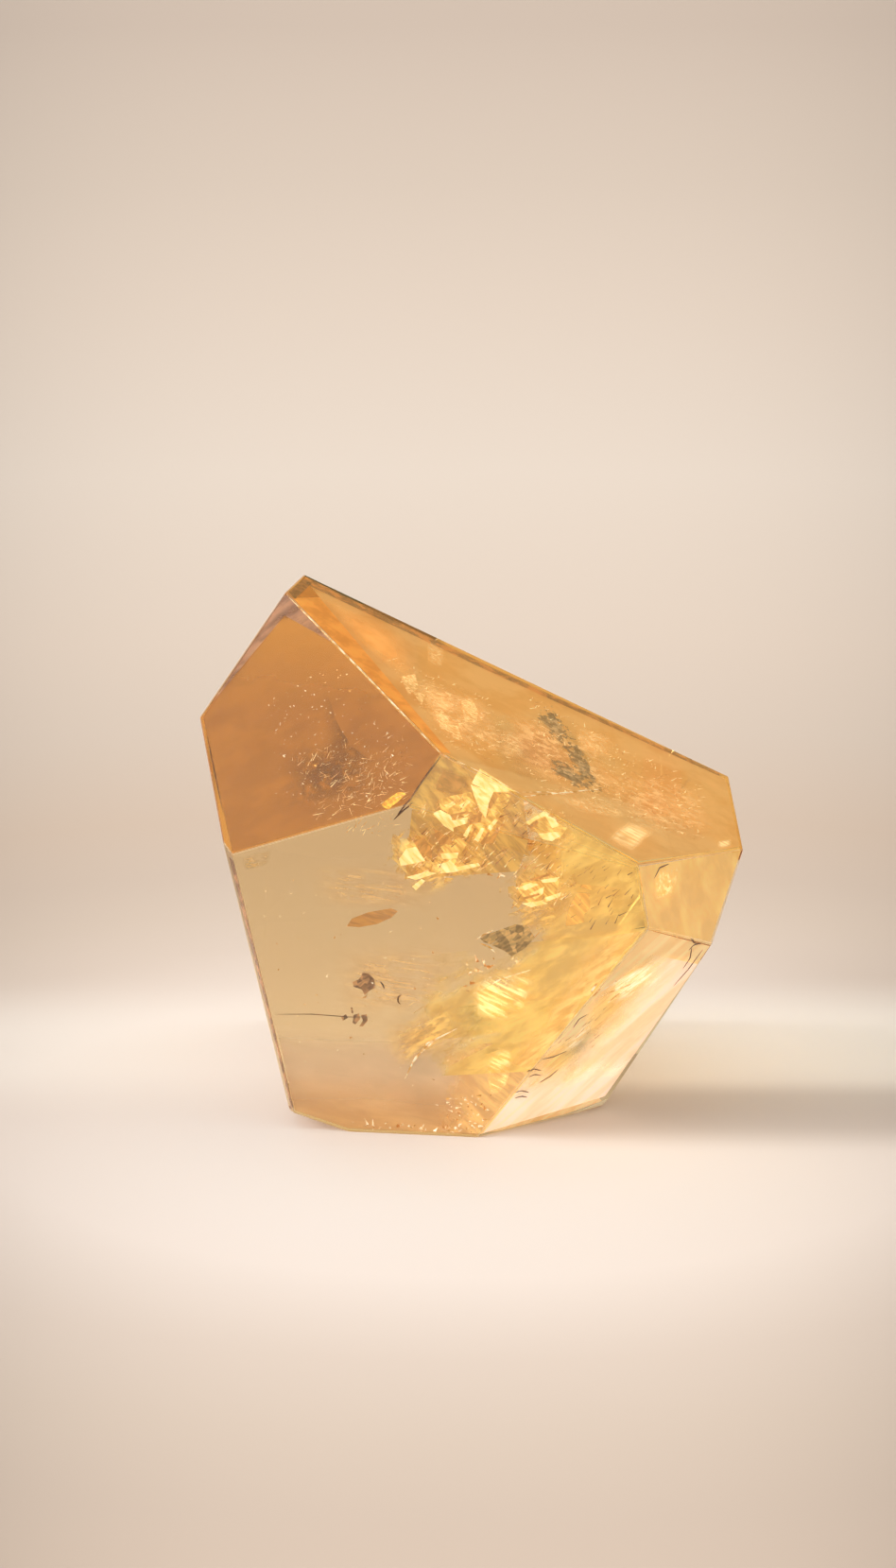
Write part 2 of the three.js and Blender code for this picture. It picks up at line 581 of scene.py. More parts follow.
def crumpled_sheet(depth, corners, cells, seed, crumple=0.0):
    """Points, faces and UVs of a sheet. corners: places of the top left, top right, bottom right
    and bottom left. cells: how many faces across and down. depth and crumple: in mm."""
    random = np.random.default_rng(seed)
    top_left, top_right, bottom_right, bottom_left = places(corners, depth)
    across, down = cells
    tilt = (top_right - top_left).cross(bottom_left - top_left).normalized()
    points = []
    uvs = []
    for row in range(down + 1):
        for column in range(across + 1):
            inner = 0 < row < down and 0 < column < across
            slide = random.uniform(-CELL_SLIDE, CELL_SLIDE, 2) if inner else (0.0, 0.0)
            u = (column + slide[0]) / across
            v = (row + slide[1]) / down
            top = top_left.lerp(top_right, u)
            bottom = bottom_left.lerp(bottom_right, u)
            lift = random.uniform(-crumple, crumple) * MM
            points.append(top.lerp(bottom, v) + tilt * lift)
            uvs.append((u, 1.0 - v))
    faces = []
    for row in range(down):
        for column in range(across):
            first = row * (across + 1) + column
            second = first + across + 1
            if random.random() < 0.5:
                faces += [(first, second, second + 1), (first, second + 1, first + 1)]
            else:
                faces += [(first, second, first + 1), (first + 1, second, second + 1)]
    return [tuple(point) for point in keep_inside(points)], faces, uvs


def sheet_mesh(name, sheets, depth, smooth=False):
    """One mesh of several sheets, each given as corners, cells, seed and, in some, its crumple."""
    points = []
    faces = []
    uvs = []
    for sheet in sheets:
        more_points, more_faces, more_uvs = crumpled_sheet(depth, *sheet)
        start = len(points)
        points += more_points
        uvs += more_uvs
        faces += [tuple(index + start for index in face) for face in more_faces]
    mesh = bpy.data.meshes.new(name)
    mesh.from_pydata(points, [], faces)
    layer = mesh.uv_layers.new(name="UVMap")
    for loop in mesh.loops:
        layer.data[loop.index].uv = uvs[loop.vertex_index]
    mesh.polygons.foreach_set("use_smooth", [smooth] * len(faces))
    mesh.update()
    return mesh


print("the inner corners of a sheet slide by up to", CELL_SLIDE, "of a cell")


# %% Pieces made of sheets or of flat facets
def dress(piece, material):
    piece.data.materials.clear()
    piece.data.materials.append(material)
    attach(piece, "root")
    print(piece.name, "has", len(piece.data.polygons), "faces")


def add_sheets(name, material, sheets, depth, smooth=True):
    dress(link(name, sheet_mesh(name, sheets, depth, smooth)), material)


def add_facets(name, material, outlines, depth):
    """Flat crisp faces, each given by the places of its corners."""
    points = []
    faces = []
    for outline in outlines:
        faces.append(tuple(range(len(points), len(points) + len(outline))))
        points += places(outline, depth)
    mesh = bpy.data.meshes.new(name)
    mesh.from_pydata([tuple(point) for point in keep_inside(points)], [], faces)
    layer = mesh.uv_layers.new(name="UVMap")
    # Every corner lies in the middle of the UV map, far from any rim.
    layer.data.foreach_set("uv", [0.5] * (2 * len(mesh.loops)))
    mesh.update()
    dress(link(name, mesh), material)


# %% [markdown]
# ## Trees of nodes
# Threads and flakes follow a rule, so Geometry Nodes make them. A tree holds the rule, and its named
# inputs hold the sizes. What it makes is then baked into a plain mesh, because an export drops
# instances.

# %% Geometry Nodes: a tree with named inputs, and its result as a plain mesh
def geometry_tree(name, inputs):
    """A node tree that takes geometry and the named numbers, and gives geometry."""
    tree = bpy.data.node_groups.new(name, "GeometryNodeTree")
    face = tree.interface
    face.new_socket("Geometry", in_out="INPUT", socket_type="NodeSocketGeometry")
    for label, kind in inputs.items():
        face.new_socket(label, in_out="INPUT", socket_type="NodeSocket" + kind)
    face.new_socket("Geometry", in_out="OUTPUT", socket_type="NodeSocketGeometry")
    recipe = Recipe(tree)
    outputs = recipe.make("NodeGroupInput").socket.node.outputs
    sockets = {socket.name: Value(recipe, socket) for socket in outputs if socket.name}
    return tree, recipe, sockets


def end_tree(recipe, geometry, material):
    whole = recipe.make("GeometryNodeRealizeInstances", values={"Geometry": geometry})
    painted = recipe.make("GeometryNodeSetMaterial", values={"Geometry": whole, "Material": material})
    recipe.make("NodeGroupOutput", values={"Geometry": painted})


def bake_tree(name, mesh, tree, settings):
    """Runs the tree on the mesh and gives back a new object with the plain result."""
    carrier = link(name + " source", mesh)
    modifier = carrier.modifiers.new("nodes", "NODES")
    modifier.node_group = tree
    for item in tree.interface.items_tree:
        if item.in_out == "INPUT" and item.name in settings:
            modifier[item.identifier] = settings[item.name]
    graph = bpy.context.evaluated_depsgraph_get()
    result = bpy.data.meshes.new_from_object(carrier.evaluated_get(graph))
    carrier.modifiers.remove(modifier)
    bpy.data.objects.remove(carrier)
    return link(name, result)


# %% [markdown]
# ## Threads
# A crack seen edge-on is a fine line. A curve with a bevel would do for one. The tree makes them
# all alike: it spaces points evenly along each line, lays a small ring on every point, and swells
# the tube from its ends to its middle, as a hair crack opens.

# %% Threads: tapered tubes along lines
THREAD_SIDES = 5
THREAD_STEP = 0.3 * MM
LEAST_SWELL = 0.02


def thread_tree(material):
    inputs = {"Radius": "Float", "Step": "Float"}
    tree, recipe, sockets = geometry_tree("thread", inputs)
    line = recipe.make("GeometryNodeMeshToCurve", values={"Mesh": sockets["Geometry"]})
    values = {"Curve": line, "Length": sockets["Step"]}
    even = recipe.make("GeometryNodeResampleCurve", {"mode": "LENGTH"}, values)
    along = recipe.make("GeometryNodeSplineParameter")
    # 0 at both ends of a line and 1 in its middle.
    swell = (along * (1 - along)) ** 0.5 * 2.0
    ring_values = {"Resolution": THREAD_SIDES, "Radius": sockets["Radius"]}
    ring = recipe.make("GeometryNodeCurvePrimitiveCircle", values=ring_values)
    values = {"Curve": even, "Profile Curve": ring, "Scale": swell.maths("MAXIMUM", swell, LEAST_SWELL)}
    tube = recipe.make("GeometryNodeCurveToMesh", values={**values, "Fill Caps": True})
    end_tree(recipe, tube, material)
    return tree


def add_threads(name, material, lines, radius, depth):
    """lines: lists of places in the front view; radius and depth in mm."""
    points = []
    edges = []
    for line in lines:
        start = len(points)
        points += places(line, depth)
        edges += [(index, index + 1) for index in range(start, len(points) - 1)]
    mesh = bpy.data.meshes.new(name)
    mesh.from_pydata([tuple(point) for point in keep_inside(points)], edges, [])
    settings = {"Radius": radius * MM, "Step": THREAD_STEP}
    dress(bake_tree(name, mesh, thread_tree(material), settings), material)


print("threads have", THREAD_SIDES, "sides and a ring every", round(THREAD_STEP / MM, 1), "mm")

# %% [markdown]
# ## Flakes and needles
# The glitter in the stone is hundreds of specks. A particle system could strew them, with most of
# its rules hidden in settings. The tree says them openly: random points on a sheet, a small
# four-sided cone on each, and a turn, a size and a drift for each cone from one fixed seed.

# %% Scattered flakes and needles
FLAKE_SIDES = 4
FLAKE_HEIGHT = 2.0
FLAKE_TIP = 0.15
FLAKE_FLATNESS = 0.5
LEAST_FLAKE = 0.35


def scatter_tree(material):
    """Small flat flakes, or long thin needles, at random places and turns on a sheet."""
    inputs = {"Density": "Float", "Length": "Float", "Slimness": "Float", "Lean": "Vector"}
    inputs.update({"Spread": "Float", "Drift": "Float", "Seed": "Int"})
    tree, recipe, sockets = geometry_tree("scatter", inputs)
    values = {"Mesh": sockets["Geometry"], "Density": sockets["Density"], "Seed": sockets["Seed"]}
    dots = recipe.make("GeometryNodeDistributePointsOnFaces", values=values)
    values = {"Vertices": FLAKE_SIDES, "Side Segments": 1, "Fill Segments": 1}
    values.update({"Depth": FLAKE_HEIGHT, "Radius Top": FLAKE_TIP, "Radius Bottom": 1.0})
    flake = recipe.make("GeometryNodeMeshCone", values=values)

    def random_vector(reach, extra):
        """A vector with each part between minus and plus the named input."""
        settings = {"data_type": "FLOAT_VECTOR"}
        values = {0: (-1.0, -1.0, -1.0), 1: (1.0, 1.0, 1.0), "Seed": sockets["Seed"] + extra}
        share = recipe.make("FunctionNodeRandomValue", settings, values)
        size = recipe.make("ShaderNodeCombineXYZ", values={axis: sockets[reach] for axis in "XYZ"})
        return recipe.vector("MULTIPLY", share, size)

    turn = recipe.vector("ADD", random_vector("Spread", 1), sockets["Lean"])
    values = {2: LEAST_FLAKE, 3: 1.0}
    size = recipe.make("FunctionNodeRandomValue", {"data_type": "FLOAT"}, values, output=1)
    length = size * size * sockets["Length"]
    thin = length * sockets["Slimness"]
    values = {"X": thin, "Y": thin * FLAKE_FLATNESS, "Z": length}
    scale = recipe.make("ShaderNodeCombineXYZ", values=values)
    values = {"Points": dots, "Instance": flake, "Rotation": turn, "Scale": scale}
    placed = recipe.make("GeometryNodeInstanceOnPoints", values=values)
    values = {"Instances": placed, "Translation": random_vector("Drift", 2), "Local Space": False}
    moved = recipe.make("GeometryNodeTranslateInstances", values=values)
    end_tree(recipe, moved, material)
    return tree


SQUARE_CM_PER_SQUARE_M = 10000.0


def add_scatter(
    name, material, sheets, depth, density, length, slimness, spread, seed, lean=0, drift=0.5
):
    """density: flakes per square cm; length and drift in mm; spread in degrees, and lean too,
    from upright to the right. slimness: width as a share of the length."""
    settings = {
        "Density": density * SQUARE_CM_PER_SQUARE_M,
        "Length": length * MM / FLAKE_HEIGHT,
        "Slimness": slimness,
        "Lean": (0.0, math.radians(lean), 0.0),
        "Spread": math.radians(spread),
        "Drift": drift * MM,
        "Seed": seed,
    }
    piece = bake_tree(name, sheet_mesh(name, sheets, depth), scatter_tree(material), settings)
    flat = np.empty(len(piece.data.vertices) * 3)
    piece.data.vertices.foreach_get("co", flat)
    piece.data.vertices.foreach_set("co", keep_inside(flat.reshape(-1, 3)).ravel())
    dress(piece, material)


print("the smallest flake is", round(LEAST_FLAKE**2, 2), "times as long as the largest")

# %% [markdown]
# ## Materials of the marks
# A healed crack is part mirror and part veil. Its film of air or fluid shows as gold foil where it
# mirrors the light, and as a pale or amber haze where it only scatters it. So one recipe makes all
# the sheets: two tones mixed by stretched noise, see-through where the noise is low, and frayed at
# the rim. The numbers say how fine, how metallic and how dense each one is.
#
# Light from all round the stone gathers in a crack, over many bounces that are slow to trace. So a
# crack also sends on a share of its own tone, as a faint glow.

# %% Where a sheet is near its rim
SQUARE_RIM = 1.4
ROUND_RIM = 0.6


def rim_reach(recipe, frayed):
    """About 0 in the middle of a sheet and 1 at its rim, or at its left or top edge only."""
    uv = recipe.make("ShaderNodeTexCoord", output=2)
    if frayed == "left":
        return 1 - recipe.parts(uv)[0]
    if frayed == "top":
        return recipe.parts(uv)[1]
    aside = recipe.vector("ABSOLUTE", recipe.vector("SUBTRACT", uv, (0.5, 0.5, 0.0)))
    across, down, _ = recipe.parts(aside)
    corner = recipe.vector("LENGTH", aside, output=1)
    return across.maths("MAXIMUM", across, down) * SQUARE_RIM + corner * ROUND_RIM


def paint(recipe, share, dark, light, glow, values):
    """Ends a mark's material: two tones, of which a share glows."""
    colour = recipe.mix(share, (*linear(dark), 1.0), (*linear(light), 1.0))
    values = {**values, "Base Color": colour}
    if glow is not None:
        values["Emission Color"] = recipe.mix(glow, BLACK, colour)
        values["Emission Strength"] = 1.0
    recipe.finish(recipe.make("ShaderNodeBsdfPrincipled", values=values))


# %% Streaks in a sheet
STREAK_NOISE = {"Scale": 1.0, "Detail": 4.0, "Roughness": 0.55, "Distortion": 0.3}


def stretched_noise(recipe, place, length, width, lean):
    """Noise in streaks of this length and width in mm, which rise to the right by lean degrees."""
    values = {"Vector": place, "Rotation": (0.0, math.radians(lean), 0.0)}
    turned = recipe.make("ShaderNodeMapping", {"vector_type": "POINT"}, values)
    fineness = (1 / length / MM, 1 / width / MM, 1 / width / MM)
    values = {"Vector": recipe.vector("MULTIPLY", turned, fineness), **STREAK_NOISE}
    return recipe.make("ShaderNodeTexNoise", values=values)


# %% One recipe for all the sheets
STREAK_EDGES = (0.38, 0.64)
THICKNESS_EDGES = (0.38, 0.60)
BITE_EDGES = (0.3, 0.7)
BITE_DEPTH = 0.8
BITE_SHARE = 0.6
# What a ragged rim takes from the clouds and the streaks, and how far the fray pulls it in.
CLOUD_FRAY = 2.0
STREAK_FRAY = 1.0
RIM_PULL = 0.6
CLOUD_DETAIL = 3.0


def healed_crack(
    name, dark, light, cover, grain, glow, fade=0.0, fray=0.5, frayed="all", blocky=0.0, cloud=4.5,
    ramp=None, metal=0.0, roughness=0.4,
):
    """dark and light: shown tones, 0 to 255. cover: least and greatest opacity.
    grain: length and width of the streaks in mm, and their rise to the right in degrees.
    glow: share of the dark and of the light tone that the crack sends on.
    fade and fray: how wide the rim is, 0 for a clean cut, and how ragged it is.
    frayed: which sides have a rim, "all", "left" or "top".
    blocky: size in mm of angular bites in the rim and of flat patches in the tone.
    cloud: size of its thick and thin places, in mm.
    ramp: heights above the base in mm, from where it begins down to where it is full."""
    material, recipe = new_material(name)
    place = recipe.object_place()
    streaks = stretched_noise(recipe, place, *grain)
    clouds = recipe.noise(place, 1 / cloud / MM, CLOUD_DETAIL)
    share = streaks.smooth(*STREAK_EDGES)
    ragged = (clouds - 0.5) * (CLOUD_FRAY * fray) + (streaks - 0.5) * (STREAK_FRAY * fray)
    rim = rim_reach(recipe, frayed) * (1.0 + RIM_PULL * fray) + ragged
    if blocky:
        values = {"Vector": place, "Scale": 1 / blocky / MM}
        cell = recipe.make("ShaderNodeTexVoronoi", values=values, output=1)
        bite = recipe.parts(cell)[0]
        rim = rim + (bite - 0.5) * BITE_DEPTH
        share = share * (1 - BITE_SHARE) + bite.smooth(*BITE_EDGES) * BITE_SHARE
    thickness = (streaks * 0.5 + clouds * 0.5).smooth(*THICKNESS_EDGES)
    opacity = thickness * (cover[1] - cover[0]) + cover[0]
    if fade:
        opacity = opacity * rim.smooth(1.0, 1.0 - fade)
    if ramp:
        height = recipe.parts(place)[2]
        opacity = opacity * height.smooth(ramp[0] * MM, ramp[1] * MM)
    sent = share * (glow[1] - glow[0]) + glow[0]
    values = {"Roughness": roughness, "Metallic": metal, "Alpha": opacity}
    paint(recipe, share, dark, light, sent, values)
    return material


# %% A plainer recipe for threads and flakes
PATCH_EDGES = (0.4, 0.6)
PATCH_DETAIL = 3.0


def plain_mark(name, dark, light, size, metal=0.0, roughness=0.4, glow=0.0):
    """Two shown tones in small patches. size: of the patches, in mm."""
    material, recipe = new_material(name)
    patches = recipe.noise(recipe.object_place(), 1 / size / MM, PATCH_DETAIL)
    share = patches.smooth(*PATCH_EDGES)
    values = {"Roughness": roughness, "Metallic": metal}
    paint(recipe, share, dark, light, share * glow if glow else None, values)
    return material


# %% [markdown]
# ## The painted shade of the left shoulder
# The left shoulder is browner than the rest, because through it the eye meets the shaded table under the
# stone. A volume of brown would be slow and noisy. A thin brown veil close under the facet paints that
# shade from the front, and it fades out upwards.

# %% The painted shade of the left shoulder
shade_veil = healed_crack(
    "shade veil", (152, 92, 0), (162, 100, 4), cover=(0.82, 0.9), grain=(9, 5, 20), glow=(0.5, 0.54),
    ramp=(74, 57),
)
smoky_zone_sheets = [
    ([(213, 758), (302, 630), (338, 875), (246, 902)], (8, 10), 1),
    ([(302, 630), (465, 798), (431, 850), (338, 875)], (8, 10), 2),
]
add_sheets("shoulder_painted_shade", shade_veil, smoky_zone_sheets, depth=1)

# %% The darkest part of the painted shade
shade_cloud = healed_crack(
    "shade cloud", (96, 58, 8), (124, 76, 18), cover=(0.0, 0.9), grain=(2.5, 1.2, -50), glow=(0.4, 0.5),
    fade=0.95, cloud=4,
)
smoke_cloud_sheets = [
    ([(326, 700), (400, 716), (462, 816), (320, 850)], (8, 8), 8),
    ([(270, 770), (420, 770), (434, 846), (270, 890)], (8, 8), 9),
]
add_sheets("shade_cloud", shade_cloud, smoke_cloud_sheets, depth=0.6)

# %% [markdown]
# ## Amber haze
# The right half of the stone is full of an amber haze. It hangs in a few large, faint sheets of
# healed cracks, with soft streaks that rise to the right. Some lie deep, so they shift behind the
# others when the stone is turned. A second haze gathers at the right of the foot.

# %% The amber haze
amber_haze = healed_crack(
    "amber haze", (214, 174, 84), (230, 196, 104), cover=(0.8, 0.95), grain=(9, 2, 30),
    glow=(0.4, 0.48), fade=0.35, fray=0.6, frayed="left", cloud=9,
)
amber_haze_sheets = [
    ([(508, 820, 5), (674, 914), (685, 980), (486, 1020, 6)], (14, 12), 2, 0.1),
    ([(548, 842, 1.4), (675, 913), (660, 940, 1.6), (556, 930, 1.6)], (10, 8), 10),
    ([(430, 1014, 6), (685, 981), (600, 1085), (356, 1112, 5)], (14, 12), 3, 0.1),
    ([(424, 1070, 1), (625, 1054), (560, 1134), (430, 1140, 0.7)], (10, 12), 4),
]
add_sheets("amber_haze", amber_haze, amber_haze_sheets, depth=0.4)

# %% The haze at the foot
foot_gold = healed_crack(
    "foot gold", (212, 166, 102), (232, 190, 116), cover=(0.8, 0.95), grain=(5, 1.2, -40),
    glow=(0.42, 0.5), fade=0.6, fray=0.6, frayed="left", cloud=5,
)
foot_gold_sheets = [
    ([(440, 1104, 0.7), (583, 1104), (508, 1200), (440, 1195, 0.6)], (10, 12), 94),
]
add_sheets("foot_gold", foot_gold, foot_gold_sheets, depth=0.5)

# %% [markdown]
# ## Mist under the brow and the cheek
# Behind the gold foil the stone isn't clear but dim gold, and the small right facet is filled with a
# lighter gold. Both are even mists without a rim, so their sheets end where the facets end. Only the
# browner tip of the first has a soft rim.

# %% The mist under the brow
brow_mist = healed_crack(
    "brow mist", (184, 138, 58), (214, 172, 82), cover=(0.82, 0.94), grain=(6, 1.0, -50),
    glow=(0.42, 0.5),
)
brow_mist_sheets = [
    ([(466, 798), (556, 844), (560, 906, 1.6), (432, 852)], (10, 8), 7),
    ([(436, 856, 1.8), (560, 886, 1.7), (548, 922, 1.8), (428, 930, 1.8)], (10, 8), 12),
]
add_sheets("brow_mist", brow_mist, brow_mist_sheets, depth=1.4)

brow_tip = healed_crack(
    "brow tip", (172, 128, 56), (196, 146, 74), cover=(0.6, 0.9), grain=(4, 1.0, -50),
    glow=(0.42, 0.48), fade=0.5, fray=0.4,
)
brow_tip_sheets = [
    ([(462, 802), (512, 818), (496, 846), (438, 846)], (8, 6), 11),
]
add_sheets("brow_tip", brow_tip, brow_tip_sheets, depth=1)

# %% The mist under the cheek
cheek_haze = healed_crack(
    "cheek haze", (232, 184, 96), (242, 200, 112), cover=(0.8, 0.92), grain=(12, 4, -50),
    glow=(0.45, 0.5),
)
cheek_haze_sheets = [
    ([(676, 915), (784, 900), (751, 998), (687, 981)], (8, 8), 6),
]
add_sheets("cheek_haze", cheek_haze, cheek_haze_sheets, depth=1.2)

# %% [markdown]
# ## The foot of the front window
# The front window is clearest in the middle and turns warmer towards the foot. Two veils do this, a
# pale one and, in front of it, a lower and browner one. Each fades with its height above the base, so
# neither shows an upper edge.

# %% The veils at the foot of the window
foot_mist = healed_crack(
    "foot mist", (206, 174, 134), (212, 180, 140), cover=(0.86, 0.92), grain=(14, 4, -8),
    glow=(0.42, 0.46), ramp=(17, 11),
)
foot_mist_sheets = [
    ([(280, 1046), (366, 1046), (369, 1193, 1.2), (312, 1175, 1.2)], (6, 8), 54),
    ([(366, 1046), (520, 1046), (500, 1200, 1.2), (369, 1193, 1.2)], (12, 8), 55),
]
add_sheets("foot_mist", foot_mist, foot_mist_sheets, depth=2)

foot_haze = healed_crack(
    "foot haze", (196, 146, 82), (208, 162, 98), cover=(0.8, 0.9), grain=(14, 4, -8), glow=(0.42, 0.46),
    cloud=9, ramp=(11, 0),
)
foot_haze_sheets = [
    ([(289, 1090), (366, 1090), (369, 1194, 0.8), (311, 1175, 0.8)], (6, 8), 64),
    ([(366, 1090), (594, 1090), (506, 1201, 0.8), (369, 1194, 0.8)], (12, 8), 65),
]
add_sheets("foot_haze", foot_haze, foot_haze_sheets, depth=1.2)

# %% [markdown]
# ## Haze under the top facet
# The long top facet shows three things at once: an even golden veil, paler mottling along its
# middle, and one browner patch. The mottling and the patch lie nearer the skin than the even veil,
# because the eye meets the nearest sheet first.

# %% The mottled haze
mottled_haze = healed_crack(
    "mottled haze", (216, 162, 98), (240, 202, 140), cover=(0.0, 0.6), grain=(5, 1.2, 35),
    glow=(0.45, 0.6), fade=0.5, fray=0.35,
)
mottled_haze_sheets = [
    ([(400, 690), (520, 730), (580, 830), (468, 792)], (10, 10), 61),
    ([(500, 730), (640, 770), (700, 880), (540, 828)], (10, 10), 62),
    ([(600, 790), (764, 830), (776, 892), (660, 900)], (10, 10), 63),
]
add_sheets("mottled_haze", mottled_haze, mottled_haze_sheets, depth=0.7)

# %% The even veil
brow_veil = healed_crack(
    "brow veil", (210, 151, 78), (213, 163, 96), cover=(0.72, 0.86), grain=(14, 6, 30),
    glow=(0.5, 0.54), cloud=10,
)
brow_veil_sheets = [
    ([(322, 612), (540, 716), (600, 868), (469, 798)], (10, 10), 66),
    ([(540, 716), (768, 824), (783, 896), (600, 868)], (10, 10), 67),
    ([(600, 868), (783, 896), (730, 906), (676, 911)], (8, 3), 68),
    ([(680, 784, 1.2), (722, 802, 1.2), (720, 866, 1.2), (682, 862, 1.2)], (3, 4), 69),
]
add_sheets("brow_veil", brow_veil, brow_veil_sheets, depth=1)

# %% The browner patch
brow_shade = healed_crack(
    "brow shade", (186, 132, 80), (202, 146, 88), cover=(0.4, 0.85), grain=(5, 1.2, 35),
    glow=(0.45, 0.5), fade=0.8,
)
brow_shade_sheets = [
    ([(486, 762), (596, 750), (650, 840), (540, 834)], (10, 8), 70),
]
add_sheets("brow_shade", brow_shade, brow_shade_sheets, depth=0.7)

# %% [markdown]
# ## The leaf-shaped crack
# One crack on the right has a sharp outline, like a pointed leaf. It is two crisp sheets that share
# an edge, with hardly any fraying.

# %% The leaf-shaped crack
leaf_film = healed_crack(
    "leaf film", (226, 172, 78), (240, 196, 98), cover=(0.7, 0.95), grain=(9, 0.9, -48),
    glow=(0.42, 0.5), fade=0.06, fray=0.04,
)
leaf_crack_sheets = [
    ([(646, 900), (678, 921), (676, 954), (606, 940)], (8, 8), 5, 0.1),
    ([(606, 940), (676, 954), (632, 972), (594, 984)], (8, 6), 5, 0.1),
]
add_sheets("leaf_crack", leaf_film, leaf_crack_sheets, depth=2.5)

# %% [markdown]
# ## Gold foil
# Just under the brow the cracks are open enough to mirror. They look like crumpled gold foil, with
# bright cream faces beside deep orange ones. Noise alone gives creases but no clear shapes. So each big
# face is laid one by one as a flat, crisp piece, and between them lie coarse sheets whose small faces
# catch the light in their own ways. A face laid so ends in a clean cut.

# %% The foil's sheets
gold_foil = healed_crack(
    "gold foil", (200, 148, 62), (242, 212, 122), cover=(0.5, 0.95), grain=(2.2, 0.4, -45),
    glow=(0.42, 0.62), fade=0.4, fray=0.4, blocky=1.1, metal=0.1, roughness=0.25,
)
gold_foil_sheets = [
    ([(448, 838), (500, 830), (524, 884), (462, 896)], (7, 7), 11, 0.2),
    ([(486, 852), (552, 842), (550, 904), (482, 912)], (8, 8), 13, 0.2),
    ([(408, 878, 1.4), (466, 870, 1.4), (470, 928, 1.4), (404, 924, 1.4)], (6, 6), 14, 0.2),
    ([(434, 892, 1.4), (532, 888, 1.4), (526, 926, 1.4), (426, 944, 1.4)], (10, 4), 15, 0.2),
    ([(550, 852), (598, 850), (606, 892), (556, 894)], (8, 7), 16, 0.2),
    ([(530, 916), (612, 912), (606, 966), (526, 974)], (9, 6), 17, 0.2),
]
add_sheets("gold_foil", gold_foil, gold_foil_sheets, depth=1.2, smooth=False)

# %% The foil's cream faces, painted highlights
# The cream faces are painted highlights: each gets the brightness that the foil's mirror would give
# there.
foil_highlight = healed_crack(
    "foil highlight", (238, 210, 118), (250, 234, 166), cover=(0.9, 1.0), grain=(3, 0.5, -50),
    glow=(0.5, 0.65),
)
foil_cream_faces_outlines = [
    [(498, 830), (522, 838), (517, 850), (514, 866), (507, 856), (501, 840)],
    [(508, 813), (547, 838), (535, 837), (520, 838), (499, 829), (504, 819)],
    [(478, 868), (495, 865), (494, 871), (479, 876)],
    [(458, 861), (466, 857), (478, 864), (480, 880), (470, 874)],
    [(422, 909), (430, 898), (440, 896), (446, 905), (450, 911), (436, 914), (424, 916)],
    [(466, 903), (485, 902), (484, 908), (468, 909)],
    [(462, 915), (476, 911), (484, 917), (506, 913), (508, 916), (480, 923), (466, 924)],
    [(556, 870), (576, 857), (581, 862), (566, 868), (560, 873)],
    [(576, 862), (588, 864), (592, 874), (584, 876)],
    [(570, 882), (590, 880), (594, 884), (584, 890), (574, 888)],
    [(560, 946), (576, 938), (574, 946), (566, 952)],
    [(572, 931), (592, 928), (588, 933), (574, 934)],
    [(546, 940), (562, 934), (570, 936), (556, 942)],
    [(552, 956), (572, 953), (580, 956), (562, 960)],
    [(576, 950), (594, 944), (592, 949), (578, 954)],
    [(490, 884), (496, 874), (500, 872), (494, 886)],
    [(502, 888), (509, 876), (513, 876), (506, 891)],
    [(516, 876), (524, 866), (527, 868), (519, 879)],
    [(486, 852), (494, 846), (498, 848), (490, 856)],
    [(470, 852), (480, 848), (482, 851), (474, 856)],
    [(430, 928), (452, 922), (462, 924), (440, 931)],
    [(436, 938), (446, 930), (450, 932), (440, 942)],
]
add_facets("foil_cream_faces", foil_highlight, foil_cream_faces_outlines, depth=0.7)

# %% The foil's gold faces
# The gold faces are the foil's middle tone, between the painted highlights and the painted shade.
foil_gold = healed_crack(
    "foil gold", (210, 160, 64), (238, 200, 106), cover=(0.85, 1.0), grain=(3, 0.5, -50),
    glow=(0.42, 0.58),
)
foil_gold_faces_outlines = [
    [(500, 858), (514, 866), (521, 852), (531, 838), (541, 842), (530, 862), (520, 873), (508, 876)],
    [(464, 846), (478, 842), (498, 838), (504, 852), (500, 858), (480, 864), (466, 856)],
    [(496, 872), (514, 870), (526, 872), (518, 892), (508, 890), (498, 884)],
    [(466, 896), (486, 886), (494, 892), (488, 904), (470, 902)],
    [(556, 872), (574, 862), (600, 876), (592, 888), (572, 886), (566, 877)],
    [(546, 945), (552, 934), (592, 930), (588, 948), (560, 956), (548, 952)],
]
add_facets("foil_gold_faces", foil_gold, foil_gold_faces_outlines, depth=0.9)

# %% The foil's amber faces, painted shade
# The amber faces are painted shade: each gets the dimness that the foil's mirror would give there.
foil_shaded = healed_crack(
    "foil shaded", (186, 128, 50), (208, 152, 66), cover=(0.85, 1.0), grain=(3, 0.6, 50),
    glow=(0.35, 0.5),
)
foil_amber_faces_outlines = [
    [(437, 889), (449, 886), (457, 900), (457, 908), (445, 904)],
    [(500, 862), (510, 861), (509, 870), (500, 872)],
    [(458, 882), (474, 884), (480, 892), (466, 894)],
    [(511, 888), (520, 884), (526, 874), (528, 880), (522, 892), (514, 893)],
    [(558, 874), (568, 868), (570, 871), (562, 878)],
    [(494, 890), (502, 876), (504, 877), (497, 892)],
    [(508, 892), (516, 880), (518, 881), (511, 894)],
    [(476, 862), (494, 858), (496, 860), (478, 865)],
    [(552, 950), (570, 945), (571, 947), (554, 952)],
    [(560, 930), (582, 924), (583, 926), (562, 932)],
    [(458, 876), (466, 880), (480, 894), (474, 894), (462, 886)],
]
add_facets("foil_amber_faces", foil_shaded, foil_amber_faces_outlines, depth=0.55)

# %% [markdown]
# ## Bright fibres
# Some healed cracks are packed with hair-fine channels, which scatter the light like brushed silk.
# Hair curves would need thousands of strands. Noise stretched five to twelve times along one
# direction gives the same look on one sheet, and each material has its own lean.

